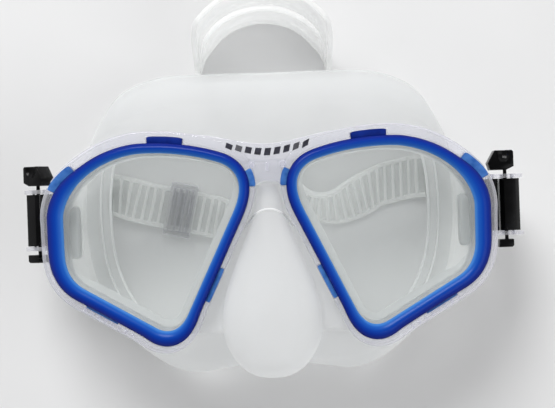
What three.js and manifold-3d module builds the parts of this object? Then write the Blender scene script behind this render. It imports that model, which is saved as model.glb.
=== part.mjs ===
// A twin-lens diving mask lying face up, with its strap folded underneath it.
// Millimetres. +X is to the right seen from the front, +Y is towards the forehead and +Z is
// the way the lenses face. The floor that the mask lies on is Z = 0.
import * as THREE from 'three';
import { mergeVertices } from 'three/addons/utils/BufferGeometryUtils.js';
import Module from 'manifold-3d';

const wasm = await Module();
wasm.setup();

// ---- driving dimensions -------------------------------------------------------------------

const GAP = 0.3; // between any two pieces that touch

// The two lens planes lean back from the bridge by this angle.
const WRAP_SLOPE = Math.tan(THREE.MathUtils.degToRad(5));
const WRAP_START = 6; // half width of the flat strip down the middle

// Heights through the lens stack, before the wrap lowers them.
const FRAME_BACK = 58;
const LEDGE_TOP = 60;
const FRAME_FRONT = 66.5;
const PLATE_TOP = FRAME_BACK - 2 * GAP;
const PLATE_THICKNESS = 2;
const GASKET_BOTTOM = LEDGE_TOP + GAP;
const GASKET_TOP = 61.8;
const GLASS_BOTTOM = GASKET_TOP + GAP;
const GLASS_TOP = 65.6;
const RING_LIP_BOTTOM = GLASS_TOP + GAP;
const RING_CROWN = 68.2;

// Offsets outward from the ring's inner edge.
const GLASS_MARGIN = 2;
const LEDGE_MARGIN = 1.2;
const NECK_INNER = -0.6;
const NECK_OUTER = LEDGE_MARGIN - GAP;
const RING_WALL_INNER = GLASS_MARGIN + GAP;
const RIM_STEPS = 56;

const SKIRT_WALL = 2;
const SEAL_LIP = 6.5;
const NOSE_WALL = 1.8;
const NOSE_COLUMN_BASE = 27;

const STRAP_THICKNESS = 2;
const STRAP_WIDTH = 17;
const STRAP_CENTRE_Y = -3.15; // middle of the strap where it runs through a buckle

// The buckle swings about HINGE. Its other axes are given from there, x outward and z up.
const HINGE = { x: 82, z: 46 };
const ROLLER = { x: 6.5, z: -12 };
const COVER = { x: 8, z: -3 };
const PAWL = { x: 8.2, z: -1.9 };
const STEM = { x: 5.6, z: -1.7 };
const LEFT_SWING = THREE.MathUtils.degToRad(35); // the left buckle hangs further in
const UPPER_ARM = [6.7, 8.1];
const LOWER_ARM = [-14.4, -13];
const PIN_RADIUS = 1;
const FINE_PIN_RADIUS = 0.5;
const STEM_RADIUS = 0.7;
const ROLLER_RADIUS = 2.6;
const ANCHOR_Y = [-13, -3.5];

const KEEPER = { x: -35.5, y: -1.2, angle: THREE.MathUtils.degToRad(-13) };
const KEEPER_LENGTH = 10.9;
const KEEPER_WIDTH = 21.6;
const KEEPER_HEIGHT = 4.9;

// ---- meshes and booleans ------------------------------------------------------------------

function solidOf(geometry) {
  const bare = geometry.clone();
  bare.deleteAttribute('normal');
  bare.deleteAttribute('uv');
  const merged = mergeVertices(bare, 1e-4);
  return new wasm.Manifold(new wasm.Mesh({
    numProp: 3,
    vertProperties: Float32Array.from(merged.attributes.position.array),
    triVerts: Uint32Array.from(merged.index.array),
  }));
}

function geometryOf(solid) {
  const mesh = solid.getMesh();
  const geometry = new THREE.BufferGeometry();
  geometry.setAttribute('position', new THREE.BufferAttribute(mesh.vertProperties, 3));
  geometry.setIndex(new THREE.BufferAttribute(mesh.triVerts, 1));
  geometry.computeVertexNormals();
  return geometry;
}

function join(...geometries) {
  return geometryOf(geometries.map(solidOf).reduce((whole, piece) => whole.add(piece)));
}

function cut(base, ...tools) {
  return geometryOf(tools.map(solidOf).reduce((rest, tool) => rest.subtract(tool), solidOf(base)));
}

function indexed(points, faces) {
  const geometry = new THREE.BufferGeometry();
  const flat = points.flatMap((p) => [p.x, p.y, p.z]);
  geometry.setAttribute('position', new THREE.Float32BufferAttribute(flat, 3));
  let volume = 0;
  for (let i = 0; i < faces.length; i += 3) {
    const [a, b, c] = [points[faces[i]], points[faces[i + 1]], points[faces[i + 2]]];
    volume += a.dot(new THREE.Vector3().crossVectors(b, c));
  }
  geometry.setIndex(volume < 0 ? faces.reverse() : faces);
  geometry.computeVertexNormals();
  return geometry;
}

// Joins loops of equal length by a skin. The ends are closed by fans, or the last loop is
// joined to the first. A fan's middle is the loop's own, unless it is given.
function loft(loops, { ring = false, middles = [] } = {}) {
  const count = loops[0].length;
  const points = loops.flat();
  const faces = [];
  const rows = ring ? loops.length : loops.length - 1;
  for (let row = 0; row < rows; row += 1) {
    const here = row * count;
    const next = ((row + 1) % loops.length) * count;
    for (let i = 0; i < count; i += 1) {
      const j = (i + 1) % count;
      faces.push(here + i, here + j, next + j, here + i, next + j, next + i);
    }
  }
  if (!ring) {
    [0, loops.length - 1].forEach((row, end) => {
      const sum = loops[row].reduce((total, p) => total.add(p), new THREE.Vector3());
      const tip = points.push(middles[end] ?? sum.divideScalar(count)) - 1;
      for (let i = 0; i < count; i += 1) {
        const edge = [row * count + i, row * count + ((i + 1) % count)];
        faces.push(tip, edge[end === 0 ? 1 : 0], edge[end === 0 ? 0 : 1]);
      }
    });
  }
  return indexed(points, faces);
}

function mirrored(geometry) {
  const copy = geometry.index ? geometry.clone() : mergeVertices(geometry.clone());
  copy.scale(-1, 1, 1);
  copy.setIndex(Array.from(copy.index.array).reverse());
  copy.computeVertexNormals();
  return copy;
}

function box([x0, x1], [y0, y1], [z0, z1]) {
  const geometry = new THREE.BoxGeometry(x1 - x0, y1 - y0, z1 - z0);
  geometry.translate((x0 + x1) / 2, (y0 + y1) / 2, (z0 + z1) / 2);
  return geometry;
}

function rodY({ x, z }, radius, [y0, y1], sides = 12) {
  const geometry = new THREE.CylinderGeometry(radius, radius, y1 - y0, sides);
  geometry.translate(x, (y0 + y1) / 2, z);
  return geometry;
}

// A tube along Y, open at both ends.
function tubeY({ x, z }, inner, outer, [y0, y1], sides) {
  const profile = [[inner, y0], [outer, y0], [outer, y1], [inner, y1], [inner, y0]];
  const geometry = new THREE.LatheGeometry(profile.map((p) => new THREE.Vector2(...p)), sides);
  geometry.translate(x, 0, z);
  return geometry;
}

// A flat shape drawn in X and Z, made thick along Y.
function slabY(shape, [y0, y1]) {
  const geometry = new THREE.ExtrudeGeometry(shape, {
    depth: y1 - y0, bevelEnabled: false, curveSegments: 5,
  });
  geometry.rotateX(Math.PI / 2);
  geometry.translate(0, y1, 0);
  return geometry;
}

// A closed outline, turned anticlockwise so that holes can be cut in it.
function outlineShape(pairs) {
  const points = pairs.map((p) => new THREE.Vector2(...p));
  return new THREE.Shape(THREE.ShapeUtils.isClockWise(points) ? points.reverse() : points);
}

// The outline that a belt would take round some discs.
function belt(discs, steps = 14) {
  const points = discs.flatMap(({ x, z, r }) => Array.from({ length: steps }, (_, i) => {
    const angle = (i / steps) * 2 * Math.PI;
    return new THREE.Vector2(x + r * Math.cos(angle), z + r * Math.sin(angle));
  }));
  points.sort((a, b) => a.x - b.x || a.y - b.y);
  const half = (list) => {
    const chain = [];
    for (const p of list) {
      while (chain.length > 1) {
        const [a, b] = chain.slice(-2);
        if ((b.x - a.x) * (p.y - a.y) - (b.y - a.y) * (p.x - a.x) > 1e-9) break;
        chain.pop();
      }
      chain.push(p);
    }
    return chain.slice(0, -1);
  };
  return new THREE.Shape([...half(points), ...half([...points].reverse())]);
}

function hole(shape, { x, z }, radius) {
  shape.holes.push(new THREE.Path().absarc(x, z, radius, 0, 2 * Math.PI, true));
}

// Straight lines between [key, value] pairs.
function lookup(pairs, key) {
  for (let i = 1; i < pairs.length; i += 1) {
    const [[k0, v0], [k1, v1]] = [pairs[i - 1], pairs[i]];
    if (key <= k1) return THREE.MathUtils.mapLinear(Math.max(key, k0), k0, k1, v0, v1);
  }
  return pairs.at(-1)[1];
}

// ---- the outline that the lens, ring, gasket and frame share --------------------------------

const wrapDrop = (x) => -WRAP_SLOPE * Math.max(0, Math.abs(x) - WRAP_START);

const lensOutline = new THREE.Path();
lensOutline.moveTo(30.2, -38.8);
lensOutline.lineTo(12.6, -2.3);
lensOutline.bezierCurveTo(10.2, 2.8, 7.7, 11, 16.2, 15);
lensOutline.bezierCurveTo(25.5, 18.4, 37, 20, 47, 19.4);
lensOutline.bezierCurveTo(60.5, 17.8, 72.2, 9.3, 73.9, -2);
lensOutline.lineTo(73.7, -16.5);
lensOutline.bezierCurveTo(73.3, -22, 71.2, -25.8, 67, -28.2);
lensOutline.lineTo(42.3, -42.4);
lensOutline.bezierCurveTo(38, -45.4, 33.2, -44.6, 30.2, -38.8);
const RIM_LENGTH = lensOutline.getLength();

// Width of the blue ring, and of the clear border beyond it, by the way the rim faces there
// (degrees, 0 is outward, 90 is towards the forehead).
const RING_WIDTH = [
  [-180, 3.8], [-154, 3.8], [-118, 5], [-90, 6.4], [-60, 4.9], [-30, 5.4],
  [0, 6], [30, 5.8], [50, 4], [90, 3.7], [180, 3.8],
];
const BORDER_WIDTH = [
  [-180, 1.6], [-150, 1.5], [-90, 2.4], [-60, 2.6], [0, 2], [45, 3.4], [90, 4], [130, 3.6],
  [165, 1.8], [180, 1.6],
];

function rimFrame(fraction) {
  const point = lensOutline.getPointAt(fraction);
  const tangent = lensOutline.getTangentAt(fraction);
  const normal = new THREE.Vector2(-tangent.y, tangent.x);
  return { point, normal, facing: THREE.MathUtils.radToDeg(Math.atan2(normal.y, normal.x)) };
}

const ringEdge = (facing) => lookup(RING_WIDTH, facing);
const frameEdge = (facing) => ringEdge(facing) + GAP + lookup(BORDER_WIDTH, facing);

// A point at an offset from the ring's inner edge; the offset may depend on the facing.
function rimPoint(fraction, offset, z) {
  const { point, normal, facing } = rimFrame(fraction);
  const distance = typeof offset === 'function' ? offset(facing) : offset;
  const x = point.x + normal.x * distance;
  return new THREE.Vector3(x, point.y + normal.y * distance, z + wrapDrop(x));
}

const rimFractions = Array.from({ length: RIM_STEPS }, (_, i) => i / RIM_STEPS);
const rimLoop = (offset, z) => rimFractions.map((f) => rimPoint(f, offset, z));
const rimPlate = (offset, z0, z1) => loft([rimLoop(offset, z0), rimLoop(offset, z1)]);
const rimRing = (profile) => loft(profile.map(([offset, z]) => rimLoop(offset, z)), { ring: true });

// A block that follows the ring's outer edge: a snap tab, or the notch that it sits in.
function rimBlock({ at, length, depth }, grow, z0, z1) {
  const target = new THREE.Vector2(...at);
  const nearest = rimFractions.reduce((best, f) => {
    const away = (g) => rimFrame(g).point.distanceTo(target);
    return away(f) < away(best) ? f : best;
  });
  const half = (length / 2 + grow) / RIM_LENGTH;
  const steps = [-1, -0.5, 0, 0.5, 1].map((s) => (nearest + s * half + 1) % 1);
  const edge = (reach, z, order) => order.map((f) => rimPoint(f, (a) => ringEdge(a) + reach, z));
  const outline = (z) => [
    ...edge(-0.6 - grow, z, steps),
    ...edge(depth + grow, z, [...steps].reverse()),
  ];
  return loft([outline(z0), outline(z1)]);
}

// Snap tabs of a ring: the nearest point of the inner edge, length along it, reach beyond the ring.
const TABS = [
  { at: [37, 19.4], length: 12.2, depth: 2.4 },
  { at: [69.5, 7.5], length: 8.8, depth: 3 },
  { at: [10.6, 8.2], length: 4.2, depth: 2.2 },
  { at: [24.2, -26.2], length: 13, depth: 1.6 },
  { at: [58, -33.4], length: 13, depth: 0.7 },
];

function lensRing() {
  const ring = rimRing([
    [0, RING_LIP_BOTTOM],
    [0, RING_CROWN - 1.4],
    [0.9, RING_CROWN - 0.4],
    [(facing) => ringEdge(facing) * 0.5, RING_CROWN],
    [(facing) => ringEdge(facing) - 0.5, RING_CROWN - 0.7],
    [ringEdge, RING_CROWN - 1.6],
    [ringEdge, GASKET_BOTTOM],
    [RING_WALL_INNER, GASKET_BOTTOM],
    [RING_WALL_INNER, RING_LIP_BOTTOM],
  ]);
  return join(ring, ...TABS.map((tab) => rimBlock(tab, 0, LEDGE_TOP + 2, FRAME_FRONT + 0.4)));
}

function lens() {
  const chamfer = 0.5;
  return loft([
    rimLoop(GLASS_MARGIN - chamfer, GLASS_BOTTOM),
    rimLoop(GLASS_MARGIN, GLASS_BOTTOM + chamfer),
    rimLoop(GLASS_MARGIN, GLASS_TOP - chamfer),
    rimLoop(GLASS_MARGIN - chamfer, GLASS_TOP),
  ]);
}

// ---- frame ----------------------------------------------------------------------------------

const bridgeTop = (x) => 21.6 + 4.2 * THREE.MathUtils.smoothstep(Math.abs(x), 0, 28);
const bridgeArch = (x) => (Math.abs(x) < WRAP_START + 1 ? 0.4 + Math.sqrt(64 - x * x) : 5.5);

function bridgeSlab(x0, x1) {
  const xs = Array.from({ length: 7 }, (_, i) => THREE.MathUtils.lerp(x0, x1, i / 6));
  const outline = (z) => [
    ...xs.map((x) => new THREE.Vector3(x, bridgeTop(x), z + wrapDrop(x))),
    ...[...xs].reverse().map((x) => new THREE.Vector3(x, bridgeArch(x), z + wrapDrop(x))),
  ];
  return loft([outline(FRAME_BACK + 0.4), outline(FRAME_FRONT - 0.4)]);
}

function frame() {
  const half = loft([
    rimLoop(frameEdge, FRAME_BACK),
    rimLoop(frameEdge, FRAME_FRONT - 1),
    rimLoop((facing) => frameEdge(facing) - 0.6, FRAME_FRONT),
  ]);
  const side = bridgeSlab(WRAP_START, 24);
  const middle = bridgeSlab(-WRAP_START, WRAP_START);
  const pocket = rimPlate((facing) => ringEdge(facing) + GAP, LEDGE_TOP, RING_CROWN + 2);
  const window = rimPlate(LEDGE_MARGIN, FRAME_BACK - 2, LEDGE_TOP + 1);
  const notches = TABS.map((tab) => rimBlock(tab, GAP, LEDGE_TOP + 2 - GAP, RING_CROWN + 2));
  const cuts = [pocket, window, ...notches];
  const body = join(half, mirrored(half), side, mirrored(side), middle);
  return cut(body, ...cuts, ...cuts.map(mirrored));
}

// ---- skirt ----------------------------------------------------------------------------------

// Right half of the skirt from the brow round to the upper lip: where it leaves the frame,
// its fold, and the outer edge of the face seal.
const SKIRT_STATIONS = [
  { front: [0, 15.5], fold: [0, 37.5, 38], edge: [0, 50.6, 22] },
  { front: [20, 20], fold: [20, 38, 38], edge: [21, 50.8, 21.5] },
  { front: [40, 23.5], fold: [41, 37.5, 36.5], edge: [42, 50, 19.5] },
  { front: [57, 20], fold: [56, 31.5, 34], edge: [57.5, 43.8, 15] },
  { front: [68, 12.5], fold: [65.5, 22, 30], edge: [66.5, 31, 10] },
  { front: [75.5, 2], fold: [72, 8, 26], edge: [70.5, 15, 5.2] },
  { front: [76.5, -9], fold: [73, -7, 25], edge: [71.3, -8, 5.1] },
  { front: [75.5, -20], fold: [71.5, -22, 27], edge: [68.5, -28, 0.6] },
  { front: [67, -32], fold: [64, -37, 31], edge: [60, -45, 5] },
  { front: [52, -41], fold: [51, -48, 35], edge: [49, -55.5, 11] },
  { front: [38, -48.5], fold: [39, -55.5, 38], edge: [38.5, -62, 16] },
  { front: [28, -47], fold: [29, -58, 40], edge: [29.5, -64, 18.5] },
  { front: [15, -46], fold: [16, -58, 42], edge: [16, -61, 21] },
  { front: [0, -46], fold: [0, -57, 42], edge: [0, -58.5, 22] },
];

// A smooth loop right round the skirt from the right half's points.
function skirtLoop(pick) {
  const right = SKIRT_STATIONS.map(pick);
  const left = right.slice(1, -1).reverse().map((p) => new THREE.Vector3(-p.x, p.y, p.z));
  const curve = new THREE.CatmullRomCurve3([...right, ...left], true);
  return curve.getPoints(2 * (right.length + left.length)).slice(0, -1);
}

// The loop runs clockwise, so the way in is on its right.
function inset(loop, distance, drop = 0) {
  return loop.map((p, i) => {
    const before = loop[(i + loop.length - 1) % loop.length];
    const after = loop[(i + 1) % loop.length];
    const inward = new THREE.Vector3(after.y - before.y, before.x - after.x, 0).normalize();
    return p.clone().addScaledVector(inward, distance).setZ(p.z - drop);
  });
}

function blended(loopA, loopB, share) {
  return loopA.map((p, i) => p.clone().lerp(loopB[i], share));
}

// Teardrop nose pocket, from the bridge to its blunt end: y, half width, height of the ridge.
const NOSE_STATIONS = [
  [7, 2.6, 59], [3, 4.2, 62], [-5, 5.8, 66], [-13, 8.9, 70], [-22, 12.7, 74], [-31, 16, 77.4],
  [-39, 17.6, 79.5], [-47, 17.2, 80], [-53, 14.8, 79], [-57.5, 11.3, 76.5], [-60.3, 7.2, 72.5],
  [-61.6, 3.5, 67.5],
];

function noseSolid(wall, base) {
  const arc = Array.from({ length: 11 }, (_, i) => (i / 10) * Math.PI);
  const middleY = -28;
  const rounding = 0.8;
  const squeeze = 1 - wall / 34;
  return loft(NOSE_STATIONS.map(([y, halfWidth, ridge]) => {
    const w = halfWidth - wall * Math.min(1, halfWidth / 6);
    const top = ridge - wall;
    const spring = top - w;
    const at = (x, z) => new THREE.Vector3(x, middleY + (y - middleY) * squeeze, z);
    const dome = arc.map((a) => at(
      w * Math.sign(Math.cos(a)) * Math.abs(Math.cos(a)) ** rounding,
      spring + (top - spring) * Math.sin(a) ** rounding,
    ));
    return [at(w, base), ...dome, at(-w, base)];
  }));
}

function skirt() {
  const front = skirtLoop(({ front: [x, y] }) => new THREE.Vector3(x, y, PLATE_TOP + wrapDrop(x)));
  const fold = skirtLoop((station) => new THREE.Vector3(...station.fold));
  const edge = skirtLoop((station) => new THREE.Vector3(...station.edge));
  const bend = blended(fold, edge, 0.75);
  const middle = (z) => new THREE.Vector3(0, -8, z);

  const outer = loft([front, inset(front, 0, 2.5), fold, edge], {
    middles: [middle(PLATE_TOP), middle(34)],
  });
  const inner = loft([
    inset(front, SKIRT_WALL, PLATE_THICKNESS),
    inset(fold, SKIRT_WALL),
    inset(bend, SKIRT_WALL),
    inset(edge, SEAL_LIP),
    inset(edge, SEAL_LIP, 40),
  ], { middles: [middle(PLATE_TOP - PLATE_THICKNESS), middle(-30)] });

  const gasket = rimRing([
    [NECK_INNER, PLATE_TOP - PLATE_THICKNESS / 2],
    [NECK_INNER, GASKET_TOP],
    [GLASS_MARGIN, GASKET_TOP],
    [GLASS_MARGIN, GASKET_BOTTOM],
    [NECK_OUTER, GASKET_BOTTOM],
    [NECK_OUTER, PLATE_TOP - PLATE_THICKNESS / 2],
  ]);
  const opening = rimPlate(NECK_INNER, PLATE_TOP - 8, GASKET_TOP + 2);
  const pad = box([70.6, 76.2], [-18, 2], [39, 50]);
  const footPocket = box([71.6, 73.8], [-15.8, -0.6], [41, 48.6]);
  const [y0, y1] = ANCHOR_Y;
  const slot = box([73.5, 78], [y0 - GAP, y1 + GAP], [HINGE.z - 1.8, HINGE.z + 1.8]);

  const shell = cut(
    join(outer, noseSolid(0, NOSE_COLUMN_BASE)),
    inner,
    noseSolid(NOSE_WALL, NOSE_COLUMN_BASE + 2),
  );
  const added = [gasket, pad];
  const taken = [opening, footPocket, slot];
  return cut(join(shell, ...added, ...added.map(mirrored)), ...taken, ...taken.map(mirrored));
}

// ---- strap ----------------------------------------------------------------------------------

// A band with a rectangular section. Each station has its middle, the direction across the
// band, and the band's width there.
function band(stations) {
  const path = stations.map(({ at }) => new THREE.Vector3(...at));
  return loft(stations.map(({ across, width = STRAP_WIDTH }, i) => {
    const along = path[Math.min(i + 1, path.length - 1)].clone().sub(path[Math.max(i - 1, 0)]);
    const side = new THREE.Vector3(...across).normalize();
    const through = new THREE.Vector3().crossVectors(along, side).normalize();
    return [[1, 1], [1, -1], [-1, -1], [-1, 1]].map(([s, t]) => path[i].clone()
      .addScaledVector(side, (s * width) / 2)
      .addScaledVector(through, (t * STRAP_THICKNESS) / 2));
  }));
}

// Adds smooth stations between the ones given, none of them low enough to sink into the floor.
function smoothStations(stations, steps) {
  const curve = (key) => new THREE.CatmullRomCurve3(stations.map((s) => new THREE.Vector3(...s[key])));
  const [at, across] = ['at', 'across'].map((key) => curve(key).getPoints(steps));
  return at.map((p, i) => {
    const { x, y, z } = across[i].normalize();
    const lowest = (Math.abs(z) * STRAP_WIDTH + Math.hypot(x, y) * STRAP_THICKNESS) / 2;
    return { at: [p.x, p.y, Math.max(p.z, lowest)], across: [x, y, z] };
  });
}

const FLAT = [0, 1, 0];
const ON_EDGE = [0, 0, 1];
const EDGE_HEIGHT = STRAP_WIDTH / 2 + 0.5; // middle of a strap that stands on its edge

const RIGHT_HALF_START = [
  { at: [62.3, 9.2, 3.5], across: FLAT },
  { at: [59, 9.1, 2.6], across: FLAT },
  { at: [56.2, 8.8, 1.3], across: FLAT },
];
const RIGHT_HALF_ON_FLOOR = [[55.4, 8.65], [54.4, 8.45], [46.6, 6.75], [45.6, 6.45]].map(
  ([x, y]) => ({ at: [x, y, STRAP_THICKNESS / 2], across: FLAT }),
);
const RIGHT_HALF_END = [
  { at: [44.2, 6.05, 1.1], across: FLAT },
  { at: [36, 2.1, 3.3], across: [-0.22, 0.92, 0.26] },
  { at: [25, -2.2, 7], across: [-0.1, 0.72, 0.69] },
  { at: [16, -0.6, 8.6], across: [0.15, 0.5, 0.85] },
  { at: [10.5, 5.5, 9], across: [0.2, 0.2, 0.96] },
  { at: [8.5, 14, EDGE_HEIGHT], across: ON_EDGE },
  { at: [12, 28, EDGE_HEIGHT], across: ON_EDGE },
  { at: [20, 41, EDGE_HEIGHT], across: ON_EDGE },
  { at: [25.4, 51, EDGE_HEIGHT], across: ON_EDGE },
];

const STRAP_IN_KEEPER = 2.3; // height of the strap's middle where it runs through the keeper
const keeperWay = [Math.cos(KEEPER.angle), Math.sin(KEEPER.angle), 0];
const keeperAcross = [-keeperWay[1], keeperWay[0], 0];
const besideKeeper = (distance) => [
  KEEPER.x + keeperWay[0] * distance, KEEPER.y + keeperWay[1] * distance, STRAP_IN_KEEPER,
];

const LEFT_HALF_START = [
  { at: [-62.3, 6, 3.5], across: FLAT },
  { at: [-54.5, 3.6, 3.5], across: keeperAcross },
  { at: besideKeeper(-13.5), across: keeperAcross },
];
const LEFT_HALF_END = [
  { at: besideKeeper(13.5), across: keeperAcross },
  { at: [-15, -6, 4.9], across: [0.15, 0.87, 0.45] },
  { at: [-8, -5.2, 7.9], across: [-0.2, 0.5, 0.84] },
  { at: [-3.8, 0.5, 9], across: [-0.25, 0.1, 0.96] },
  { at: [-4, 10, EDGE_HEIGHT], across: ON_EDGE },
  { at: [-10, 26, EDGE_HEIGHT], across: ON_EDGE },
  { at: [-19, 40, EDGE_HEIGHT], across: ON_EDGE },
  { at: [-26.4, 51, EDGE_HEIGHT], across: ON_EDGE },
];

// The head band is split in two, and stands in a loop beyond the forehead.
const LOOP_CENTRE = { x: -0.5, y: 52 };
const LOOP_LEAN = THREE.MathUtils.degToRad(8);
const LOOP_STEPS = 22;
const HEAD_BANDS = [
  { rx: 25.2, ry: 22.5, foot: 4.7, height: 10.2 },
  { rx: 28, ry: 26.6, foot: 13.3, height: 36.6 },
];

function headBand({ rx, ry, foot, height }) {
  const stations = Array.from({ length: LOOP_STEPS + 1 }, (_, i) => {
    const angle = (i / LOOP_STEPS) * Math.PI;
    const fromFoot = Math.min(angle, Math.PI - angle);
    const open = THREE.MathUtils.smoothstep(fromFoot, 0, 0.65);
    const [c, s] = [Math.cos(angle), Math.sin(angle)];
    const radius = THREE.MathUtils.lerp(25.7, rx, open);
    const lean = LOOP_LEAN * open;
    return {
      at: [LOOP_CENTRE.x + radius * c, LOOP_CENTRE.y + ry * s, THREE.MathUtils.lerp(foot, height, open)],
      across: [Math.sin(lean) * c, Math.sin(lean) * s, Math.cos(lean)],
      width: THREE.MathUtils.lerp(8.4, 19, open),
    };
  });
  const lead = (end, x) => ({ ...end, at: [x, 47.5, end.at[2]] });
  return band([lead(stations[0], 24), ...stations, lead(stations.at(-1), -24.6)]);
}

function strap() {
  const right = band([
    ...smoothStations(RIGHT_HALF_START, 6),
    ...RIGHT_HALF_ON_FLOOR,
    ...smoothStations(RIGHT_HALF_END, 24),
  ]);
  const left = band([...smoothStations(LEFT_HALF_START, 6), ...smoothStations(LEFT_HALF_END, 22)]);
  return join(right, left, ...HEAD_BANDS.map(headBand));
}

function rollerCentre(swing) {
  return {
    x: HINGE.x + ROLLER.x * Math.cos(swing) + ROLLER.z * Math.sin(swing),
    z: HINGE.z - ROLLER.x * Math.sin(swing) + ROLLER.z * Math.cos(swing),
  };
}

// An end of the strap: from its free tail on the floor, up the outside, round the roller,
// and down to the half that lies under the mask.
function strapEnd(swing, tail, main) {
  const roller = rollerCentre(swing);
  const radius = ROLLER_RADIUS + GAP + STRAP_THICKNESS / 2;
  const over = Array.from({ length: 9 }, (_, i) => {
    const angle = (i / 8) * Math.PI;
    return [roller.x + radius * Math.cos(angle), STRAP_CENTRE_Y, roller.z + radius * Math.sin(angle)];
  });
  const stretch = (points) => smoothStations(points.map((at) => ({ at, across: FLAT })), 2 * points.length);
  return band([
    ...stretch([...tail, over[0]]),
    ...over.slice(1, -1).map((at) => ({ at, across: FLAT })),
    ...stretch([over.at(-1), ...main]),
  ]);
}

const RIGHT_END = {
  tail: [
    [61.2, 9.2, 1], [69, 7.6, 1], [77, 3.4, 1.2], [84, -1, 3.8], [89.3, -3, 10],
    [91.8, STRAP_CENTRE_Y, 20],
  ],
  main: [[83.8, -2.6, 18], [80.6, -0.8, 9], [75.4, 3.6, 4.5], [69, 7.6, 3.5], [62.6, 9.2, 3.5]],
};
const LEFT_END = {
  tail: [
    [56.5, 4.4, 1], [67, 5.6, 1], [74, 3.2, 1.1], [80, -0.6, 3.6], [83.4, -2.8, 10],
    [84.4, STRAP_CENTRE_Y, 20],
  ],
  main: [[76.6, -2.6, 20], [76.3, -1.5, 11], [74.6, 1, 5.8], [71, 4, 3.7], [66, 5.6, 3.5], [62.6, 6, 3.5]],
};

function strapKeeper() {
  const half = KEEPER_LENGTH / 2;
  const body = box([-half, half], [-KEEPER_WIDTH / 2, KEEPER_WIDTH / 2], [0, KEEPER_HEIGHT]);
  const reach = STRAP_THICKNESS / 2 + GAP;
  const side = STRAP_WIDTH / 2 + GAP;
  const window = box([-half - 1, half + 1], [-side, side], [STRAP_IN_KEEPER - reach, STRAP_IN_KEEPER + reach]);
  const ribs = [-3.6, -1.2, 1.2, 3.6].map((x) => box(
    [x - 0.5, x + 0.5], [-side, side], [KEEPER_HEIGHT - 0.3, KEEPER_HEIGHT + 0.6],
  ));
  return join(cut(body, window), ...ribs);
}

// ---- buckle, drawn for the right side ----------------------------------------------------------

function buckleAnchor() {
  const [y0, y1] = ANCHOR_Y;
  const foot = box([71.9, 73.5], [-15.5, -0.9], [41.3, 48.3]);
  const neck = box([73.2, HINGE.x - 1.9], [y0, y1], [HINGE.z - 1.5, HINGE.z + 1.5]);
  const knuckle = rodY(HINGE, 2.6, [LOWER_ARM[1] + GAP, UPPER_ARM[0] - GAP], 16);
  const bore = rodY(HINGE, PIN_RADIUS + GAP, [LOWER_ARM[0], UPPER_ARM[1]], 12);
  return cut(join(foot, neck, knuckle), bore);
}

function buckleFrame() {
  const arm = belt([{ x: 0, z: 0, r: 3 }, { ...ROLLER, r: 4.2 }, { ...COVER, r: 4.3 }]);
  hole(arm, { x: 0, z: 0 }, PIN_RADIUS + GAP);
  hole(arm, ROLLER, PIN_RADIUS + GAP);
  hole(arm, PAWL, FINE_PIN_RADIUS + GAP);
  hole(arm, STEM, STEM_RADIUS + GAP);
  const web = rodY({ x: 0.3, z: -6.5 }, 1.3, [LOWER_ARM[1] - 0.5, UPPER_ARM[0] + 0.5]);
  return join(slabY(arm, UPPER_ARM), slabY(arm, LOWER_ARM), web);
}

const COVER_Y = [LOWER_ARM[1] + GAP, UPPER_ARM[0] - GAP];

function buckleCover() {
  const outline = [[3.3, -4], [3.3, -0.5], [4.8, 1], [9, 1], [10.6, -0.8], [10.6, -6.5]];
  const lining = [[9.6, -6.5], [9.6, -1], [8.7, -0.2], [5.4, -0.2], [4.3, -1.3], [4.3, -4]];
  const channel = slabY(outlineShape([...outline, ...lining]), COVER_Y);
  const end = outlineShape(outline);
  hole(end, PAWL, FINE_PIN_RADIUS + GAP);
  hole(end, STEM, STEM_RADIUS + GAP);
  const [y0, y1] = COVER_Y;
  return join(channel, slabY(end, [y0, y0 + 1]), slabY(end, [y1 - 1, y1]));
}

function strapPawl() {
  const shape = belt([{ ...PAWL, r: 1.1 }, { x: 7.9, z: -6.6, r: 0.45 }], 12);
  hole(shape, PAWL, FINE_PIN_RADIUS + GAP);
  return slabY(shape, [-8, 1.6]);
}

const UPPER_STEM_TIP = 3.5;
const LOWER_STEM_TIP = -9.3;
const UPPER_BUTTON_FACE = 9.6;
const LOWER_BUTTON_FACE = -15.9;

// A button drawn in X and Y, made thick in Z.
function button(outline, thickness, stemY) {
  const pad = new THREE.ExtrudeGeometry(outlineShape(outline), { depth: thickness, bevelEnabled: false });
  pad.translate(0, 0, -thickness / 2);
  return join(pad, rodY(STEM, STEM_RADIUS, stemY, 10));
}

function upperButton() {
  const outline = [
    [-0.4, UPPER_BUTTON_FACE], [5.6, UPPER_BUTTON_FACE], [8.2, 10.8], [8.2, 16.2], [7.6, 16.8],
    [1.4, 16.8], [-1.2, 12.2],
  ];
  const scoop = new THREE.SphereGeometry(3.4, 12, 8);
  scoop.scale(1, 1.15, 1);
  scoop.translate(4.3, 15.6, 5.2);
  return cut(button(outline, 6.4, [UPPER_STEM_TIP, UPPER_BUTTON_FACE + 1]), scoop);
}

function lowerButton() {
  const outline = [
    [2.4, LOWER_BUTTON_FACE], [7.6, LOWER_BUTTON_FACE], [7.6, -18.2], [7, -18.8], [2.2, -18.8],
  ];
  return button(outline, 5, [LOWER_BUTTON_FACE - 1, LOWER_STEM_TIP]);
}

const PIN_Y = [LOWER_ARM[0] + 0.1, UPPER_ARM[1] - 0.1];

// ---- assembly -----------------------------------------------------------------------------------

const clearPlastic = { color: 0xdfe6ec, roughness: 0.12, metalness: 0 };
const bluePlastic = { color: 0x1a53b8, roughness: 0.25, metalness: 0.1 };
const blackPlastic = { color: 0x101114, roughness: 0.4, metalness: 0 };
const silicone = { color: 0xe6e9ea, roughness: 0.5, metalness: 0 };
const glass = { color: 0xcfe0da, roughness: 0.03, metalness: 0 };
const steel = { color: 0xb9bcc0, roughness: 0.25, metalness: 1 };

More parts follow.
